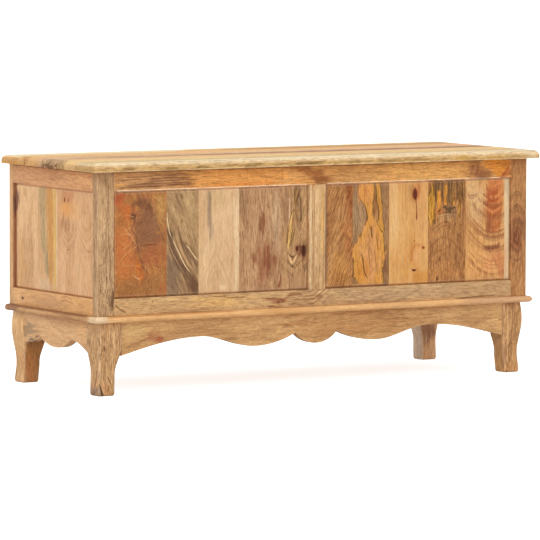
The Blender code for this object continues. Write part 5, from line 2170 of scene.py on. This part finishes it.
LEFT_SIDE = {
    "left_board_1": plank(
        0xEEC498, 0xE3B386, 0xCC986C, SIDEWISE,
        vein(((-3.5, 428), (-4, 310), (-5, 196)), 3.5, 0xF0D0A2, 0.7),
        mark(-50, 402, 24, 24, 0xCE8E64, 0.85), mark(-52, 377, 34, 19, 0xEAAA68, 0.85, ragged=1.0),
        mark(-40, 349, 24, 15, 0xB48058, ragged=1.2),
        mark(-38, 398.5, 2.8, 4.8, 0x743826, 0.92, ragged=0.3),
        mark(-53, 398.5, 1.9, 4.6, 0x743826, 0.92, ragged=0.3),
        arches(-53, 325, 36, 44, 10, -30, 0xBA865C, 0.5, 1.3),
        arches(-130, 335, 28, 60, 12, -18, 0xC08C60, 0.38, 1.5),
        vein(((-24, 324), (-40, 304), (-53, 295), (-66, 304), (-84, 330)), 1.4, 0xAC764E, 0.75),
        vein(((-100, 328), (-128, 303), (-142, 297), (-156, 309)), 1.4, 0xAC764E, 0.7),
        mark(-58, 228, 4.5, 7, 0xCC9668, 0.7),
        pitch=9, rings=0.25, pith=(-20, 50), taper=0.16, wander=14, pores=0.2, fibre=0.4,
        glaze=(1.0, 0.98, 0.92)),
    "left_board_2": plank(
        0xE8C08C, 0xDAAE7C, 0xC29462, SIDEWISE,
        vein(((56, 430, 15), (56, 367, 15), (51, 314, 13), (44, 272, 9), (42, 236, 3)), 0, 0xB2986A,
            ragged=0.5, fade=0.04),
        vein(((26, 430, 12), (24, 360, 14), (22, 300, 12), (20, 230, 9), (18, 200, 6)), 0, 0xCA924A,
            0.9, fade=0.04), mark(36, 258, 6, 20, 0x96825C, 0.6),
        vein(((5.5, 432), (5, 310), (3.5, 192)), 3.4, 0xDCB458, 0.9, fade=0.02),
        mark(133, 405, 7, 7, 0xC09466, 0.6), mark(150, 250, 12, 60, 0xCE9E60, 0.5),
        mark(40, 214, 30, 14, 0xD6B890, 0.6), *STRIP,
        pitch=9, rings=0.3, pith=(30, 80), taper=0.05, wander=12, pores=0.2, fibre=0.5,
        glaze=(1.12, 1.1, 1.14)),
    "left_top_rail": plank(
        0xDEAC7E, 0xCF9C70, 0xB6825A, Run.DEEPWISE,
        mark(20, 442, 60, 12, 0xC29066, 0.5),
        # painted shadow along the rail's top, under the lid
        vein(((180, 461.2, 2), (80, 461.2, 1.8), (-160, 461.2, 1)), 0, 0x683E28, fade=0.01, ragged=0.3),
        pitch=6, rings=0.3, pith=(20, 30), taper=0.05, pores=0.3, fibre=0.6, glaze=(1.16, 1.08, 0.98)),
    "left_bottom_rail": plank(
        0xEEBA80, 0xE0AA72, 0xC48E5C, Run.DEEPWISE,
        mark(10, 184, 55, 16, 0xC49468, 0.7), arches(-50, 186, 30, 14, 6, 8, 0xAA764E),
        knot(136, 181.5, 4, 2.6, 0x5C301E, 0xBE8052),
        pitch=7, rings=0.3, pith=(0, 50), taper=0.05, pores=0.3, fibre=0.4, glaze=(1.1, 1.12, 1.1)),
    "back_left_stile": plank(
        0xECBE8C, 0xDEAE7C, 0xC29262, SIDEWISE,
        *STRIP,
        pitch=6, rings=0.3, pores=0.3),
}

STAND = {
    "front_moulding": plank(
        0xF6C684, 0xECB874, 0xD8A05E, LEVEL,
        mark(480, 159, 100, 20, 0xD4A676, 0.75), mark(180, 159, 60, 20, 0xE2AE70, 0.5),
        mark(-530, 159, 20, 20, 0xF2D6A8),
        # painted shade along the moulding's top, under the case
        vein(((-520, 164.4, 2), (-400, 164.4, 1.8), (-200, 164.6, 1)), 0, 0xCC8E4C, 0.75, fade=0.05),
        pitch=8, rings=0.25, pith=(20, 50), taper=0.02, pores=0.2, fibre=0.4, glaze=(0.98, 0.98, 1.12)),
    "left_moulding": plank(
        0xDEAC78, 0xCC9A68, 0xAC7A4E, Run.DEEPWISE,
        mark(175, 159, 35, 20, 0x9E7052, 0.75), mark(-178, 159, 16, 20, 0xF0D2A6, 0.85),
        # darker along the moulding's top: partly stain, partly painted shade under the case
        vein(((200, 164.8), (20, 164.8), (-160, 164.8)), 2.6, 0x8E603C, 0.85, fade=0.05),
        pitch=6, rings=0.3, pores=0.4),
    "front_apron": plank(
        0xD8AA74, 0xCA9A66, 0xB28254, LEVEL,
        mark(-440, 132, 30, 18, 0xD8B074, 0.6), mark(105, 125, 150, 40, 0xAE7848, 0.65),
        mark(462, 125, 12, 34, 0xD0A06A, 0.6), mark(400, 119, 36, 10, 0xB28054, 0.6),
        mark(-388, 123, 15, 11, 0xB0764C, 0.65, ragged=1.3),
        mark(-377, 113, 6.5, 4, 0xA65C3A, ragged=1.2), mark(-398, 118, 8, 6, 0xB87A50, 0.65, ragged=1.3),
        mark(-62, 117, 9, 6, 0xD29E6A, 0.7),
        vein(((-466, 96), (-436, 105), (-404, 115), (-370, 121)), 2.2, 0xA46E46, 0.65, ragged=0.9),
        vein(((-464, 124), (-440, 120), (-415, 128)), 1.2, 0xAC7A4E, 0.55),
        vein(((-83, 116), (-66, 126.5), (-50, 119)), 1.3, 0x9A6642, 0.7),
        vein(((-12, 124), (-2, 131), (12, 122)), 1.3, 0x92603E, 0.6),
        vein(((170, 122), (205, 131), (245, 121)), 1.3, 0x986640, 0.6),
        vein(((170, 119), (205, 112), (245, 120)), 1.2, 0x9C6A44, 0.5),
        pitch=9, rings=0.3, pith=(0, 60), taper=0.04, wander=20, pores=0.3, fibre=0.65,
        glaze=(1.22, 1.29, 1.32)),
    "left_apron": plank(
        0xE4B686, 0xD6A678, 0xBE8E62, Run.DEEPWISE,
        # the first mark is painted shadow under the moulding's overhang
        mark(40, 149, 75, 4.5, 0xBE8C68, 0.6), mark(124, 113, 30, 12, 0x9E8062, 0.85, ragged=1.2),
        mark(116, 96, 16, 5.5, 0x785E4C, 0.85, -24.0, ragged=1.2),
        mark(92, 102, 14, 3.5, 0x7C5E48, 0.8, -24.0, ragged=1.2), mark(128, 86, 18, 4, 0x92684C, 0.7),
        mark(-100, 128, 14, 20, 0xE2AC76, 0.6),
        pitch=8, rings=0.3, pores=0.2, fibre=0.5, glaze=(1.16, 1.2, 1.17)),
    "front_left_leg": plank(
        0xD8AE7E, 0xC79C6E, 0xAC825A, UPRIGHT,
        mark(-520, 8, 7, 10, 0x947A68, 0.7), mark(-504, 12, 10, 12, 0xBE8A5C, 0.6),
        vein(((-520, 150), (-519, 80), (-515, 30)), 1.1, 0xE2C092, 0.7),
        vein(((-489, 145), (-488, 87), (-491, 20)), 1.4, 0xDEB684, 0.6),
        vein(((-505, 148), (-506, 90), (-503, 40)), 0.9, 0x8C6442, 0.55),
        vein(((-496, 130), (-497, 80), (-496, 50)), 0.8, 0x946A46, 0.5),
        mark(-511, 100, 1.3, 6.5, 0x402618, 0.92, soft=0.4, ragged=0.2),
        mark(-518, 87, 1, 2.8, 0x543220, 0.85, ragged=0.2),
        vein(((-499, 42), (-495, 31), (-491, 22)), 1.3, 0x543020, 0.9),
        vein(((-519, 26, 0.5), (-516, 14, 1.6), (-513, 4, 2.2), (-512, -6, 2.2)), 0, 0x34201A, 0.95,
            fade=0.05, ragged=0.1),
        vein(((-159, 56), (-157, 36), (-154, 20)), 1.8, 0x885436, face=Face.SIDE),
        mark(-120, 126, 1.5, 9.5, 0x603A26, 0.9, ragged=0.2, face=Face.SIDE),
        pitch=7, rings=0.35, pith=(10, 20), taper=0.03, wander=10, pores=0.7, fibre=1.0,
        glaze=(1.16, 1.17, 1.15)),
    "front_right_leg": plank(
        0xD6A874, 0xC69664, 0xAC7C50, UPRIGHT,
        vein(((489, 148), (491, 80), (494, 10)), 1.3, 0xDEB480, 0.7),
        vein(((499, 150), (501, 85), (500, 30)), 1, 0x966A46, 0.6),
        vein(((508, 148), (511, 90), (509, 40)), 0.9, 0x986E48, 0.5),
        mark(500, 10, 18, 12, 0xD09A62, 0.5),
        pitch=7, rings=0.3, pith=(0, 30), taper=0.03, pores=0.6, fibre=1.0, glaze=(1.22, 1.27, 1.28)),
    "back_left_leg": plank(
        0xE4B882, 0xD5A874, 0xBA8A5C, UPRIGHT,
        # the first mark is painted shade on the leg's inner faces
        mark(-495, 60, 22, 110, 0xB07A48, 0.9, soft=0.3, ragged=0.1),
        mark(-506, 40, 12, 30, 0xBA7442, 0.5), mark(176, 30, 8, 22, 0xC4A274, 0.5, face=Face.SIDE),
        pitch=8, rings=0.3, pith=(20, 40), taper=0.04, pores=0.3, fibre=0.7, glaze=(1.22, 1.24, 1.27)),
    "back_right_leg": plank(
        0xC49870, 0xB28660, 0x966C4E, UPRIGHT,
        # painted light: a paler skin on the leg's inner front face, lifting the shade under the chest
        vein(((145.5, 160), (145.8, 100), (148.2, 72), (150.8, 43), (152.6, 11), (152.6, -10)), 3.2,
            0xEEBA8A, 0.85, soft=0.3, ragged=0.1, fade=0.02, face=Face.SIDE),
        mark(500, 75, 18, 34, 0xA27354, 0.7, soft=0.35), mark(505, 60, 10, 14, 0x946652, 0.6),
        # painted light: a paler skin on the leg's inner side face, lifting the shade under the chest
        vein(((467.2, 160), (468, 100), (474, 72), (480.4, 43), (482.4, 11), (482.4, -10)), 3.4,
            0xFAE0C4, 0.92, soft=0.3, ragged=0.1, fade=0.02),
        pitch=7, rings=0.3, pores=0.4, fibre=0.45, glaze=(1.18, 1.18, 1.16)),
}

# along the front of the lid's nose: painted shade in the bands below its top, a painted highlight along
# its top, dark mottles in the grain, a pale patch near the right end and a pale line along the lower
# edge
UNDER_NOSE = (
    vein(((-600, 470.5), (0, 470.5), (600, 470.5)), 4.2, 0xD2A96D, 0.75, soft=0.4, ragged=0.5,
        fade=0.01, face=Face.FRONT),
    vein(((-600, 479), (0, 479), (600, 479)), 2.2, 0xEAD2A4, 0.75, soft=0.5, ragged=0.5, fade=0.01,
        face=Face.FRONT),
    vein(((-600, 468.6), (0, 468.6), (600, 468.6)), 4, 0xCBA466, soft=0.5, ragged=0.9, fade=0.01,
        face=Face.FRONT),
    *(mark(x, z, wide, 3.2, shade, 0.62, ragged=1.6, face=Face.FRONT)
        for x, z, wide, shade in ((-473, 467, 18, 0x8C673A), (-367, 468.5, 14, 0x957643),
        (-282, 469, 20, 0x775C33), (-225, 470, 12, 0xA0814D), (-174, 469, 18, 0x7D6035),
        (-110, 468, 16, 0x9E7D4A), (-43, 469, 20, 0x755A31), (-12, 468, 14, 0x95703E),
        (88, 469, 16, 0x917443), (163, 468, 22, 0xA07B46), (250, 469, 18, 0xA6814C),
        (352, 469, 26, 0xC59943),
        (440, 468, 22, 0xC09143))), mark(530, 474, 20, 8, 0xE5CCA5, face=Face.FRONT),
    vein(((-600, 464.4), (0, 464.4), (600, 464.4)), 1.1, 0xDDBC89, 0.75, fade=0.01, face=Face.FRONT),
)


def top_of(middle: float, half: float, shade: int) -> Vein:
    """Colour a lid plank's top, so that the marks of its sawn end stay at the end."""
    return vein(((-538, middle), (0, middle), (538, middle)), half, shade, 0.85,
                soft=0.05, ragged=0.05, fade=0.004)


LID_PLANKS = {
    "lid_board_1": plank(
        0xE8CC97, 0xDDBC84, 0xC79E63, Run.LENGTHWISE_FLAT,
        # painted highlight along the top of the lid's nose
        vein(((-545, -192), (0, -192), (545, -192)), 18, 0xFFEEC6, 0.95, soft=0.3, ragged=0.3,
            fade=0.01, face=Face.TOP),
        # the nose's front face in one colour, so the painted highlight stays on the rounding above
        vein(((-600, 469.5), (0, 469.5), (600, 469.5)), 8.2, 0xDEBC8E, 0.95, soft=0.2, ragged=0.2,
            fade=0.01, face=Face.FRONT), *UNDER_NOSE,
        mark(-250, -150, 220, 12, 0xE7C580, 0.6, face=Face.TOP),
        mark(300, -140, 200, 12, 0xE3B66F, 0.6, face=Face.TOP),
        pitch=8, rings=0.3, pith=(10, 50), taper=0.03, pores=0.3, fibre=0.8, glaze=(1.12, 1.11, 1.12)),
    "lid_board_2": plank(
        0xFAD69E, 0xF2C88C, 0xDAAA70, Run.LENGTHWISE_FLAT,
        mark(-60, 472, 17, 30, 0xB28C62, 0.9, soft=0.15, ragged=0.2, face=Face.SIDE),
        mark(-102, 469, 16, 6, 0xDEB088, 0.7, face=Face.SIDE), top_of(-83.5, 44, 0xF6CE92),
        mark(120, -100, 300, 12, 0xF0BE7C, 0.6), mark(-400, -70, 140, 12, 0xF0C28E, 0.6),
        pitch=8, rings=0.3, pith=(0, 50), taper=0.03, pores=0.2, fibre=0.6, glaze=(1.06, 1.06, 0.96)),
    "lid_board_3": plank(
        0xF4CA9A, 0xE8BC8E, 0xCE9E72, Run.LENGTHWISE_FLAT,
        mark(-12, 472, 30, 30, 0xB89268, 0.85, soft=0.2, face=Face.SIDE),
        mark(-8, 469, 22, 4, 0x705036, ragged=2.2, face=Face.SIDE),
        mark(36, 472, 13.5, 30, 0xE8B884, 0.92, soft=0.15, ragged=0.2, face=Face.SIDE),
        top_of(0, 52, 0xF4C896),
        vein(((-535, -20, 12), (-300, -22, 18), (60, -16, 30), (300, -12, 32), (560, -10, 30)), 0,
            0xE2AC7A, soft=0.6, ragged=0.9, fade=0.02),
        vein(((-500, -4, 3), (-200, -10, 10), (60, -16, 18), (300, -22, 22), (540, -22, 19)), 0,
            0xAE764C, 0.88, soft=0.5, ragged=0.9, fade=0.02),
        vein(((-470, 22, 1), (-400, 20, 4), (-330, 20, 1)), 0, 0x966444, fade=0.02),
        pitch=6, rings=0.4, pith=(0, 40), taper=0.03, pores=0.5, fibre=0.7),
    "lid_board_4": plank(
        0xF4C68E, 0xE8B47C, 0xCE9662, Run.LENGTHWISE_FLAT,
        mark(86, 474, 9, 7, 0xCE8C4E, face=Face.SIDE), mark(94, 470, 3, 7, 0x784C2C, face=Face.SIDE),
        top_of(80.8, 40, 0xF0BE84), mark(-400, 80, 160, 14, 0xF6C48C, 0.6),
        vein(((-20, 114, 4), (120, 110, 14), (548, 108, 14)), 0, 0xCC9A64, 0.85, soft=0.4, ragged=0.5,
            fade=0.03),
        pitch=9, rings=0.3, pith=(10, 60), taper=0.03, pores=0.2, fibre=0.6, glaze=(1.06, 1.06, 0.94)),
    "lid_board_5": plank(
        0xF4C284, 0xE6AE70, 0xC88C54, Run.LENGTHWISE_FLAT,
        vein(((-548, 196, 80), (-200, 196, 74), (-80, 196, 34), (548, 196, 34)), 0, 0xFFEAC8, 0.9,
            soft=0.3, ragged=0.2, fade=0.004),
        vein(((-60, 132, 4), (120, 128, 18), (548, 126, 18)), 0, 0xC89660, 0.9, soft=0.4, ragged=0.5,
            fade=0.03),
        pitch=8, rings=0.3, pith=(0, 50), taper=0.03, pores=0.2, fibre=0.6, glaze=(1.06, 1.08, 0.96)),
}

IN_VIEW: dict[str, Timber] = {
    **FRONT_LEFT_PANEL, **FRONT_RIGHT_PANEL, **FRONT_FRAME, **LEFT_SIDE, **STAND, **LID_PLANKS,
}


@dataclass
class Chest:
    """The whole chest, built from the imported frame."""

    frame: dict
    groups: dict[str, list[str]] = field(default_factory=dict)

    def group_of(self, node: str) -> str:
        """Tell which sub-assembly makes a node.

        Args:
            node: The node's name.

        Returns:
            The group's name.
        """
        if node.startswith("hinge_"):
            return "hinges"
        if node.startswith("lid_") or node.endswith("_batten"):
            return "lid"
        return {"leg": "legs", "apron": "aprons", "moulding": "moulding"}.get(
            node.rpartition("_")[2], "case")

    def build(self) -> None:
        """Sort the nodes and build each sub-assembly in turn."""
        for node in sorted(self.frame["nodes"]):
            self.groups.setdefault(self.group_of(node), []).append(node)
        shop = Joinery(self.frame)
        yard = Yard(shop.slots)
        makers = {"case": Case, "moulding": Moulding, "legs": Legs, "aprons": Aprons, "lid": Lid}
        for group, maker in makers.items():
            maker(shop, {node: yard.pick(node) for node in self.groups[group]}).build()
        Hinges(self.frame).build()


def main() -> None:
    """Load the frame, dress the chest, and set the studio round it."""
    logging.basicConfig(level=logging.INFO, format="%(name)s: %(message)s", stream=sys.stdout)
    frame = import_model()
    Camera().build()
    Studio().build()
    Chest(frame).build()


if __name__ == "__main__":
    main()
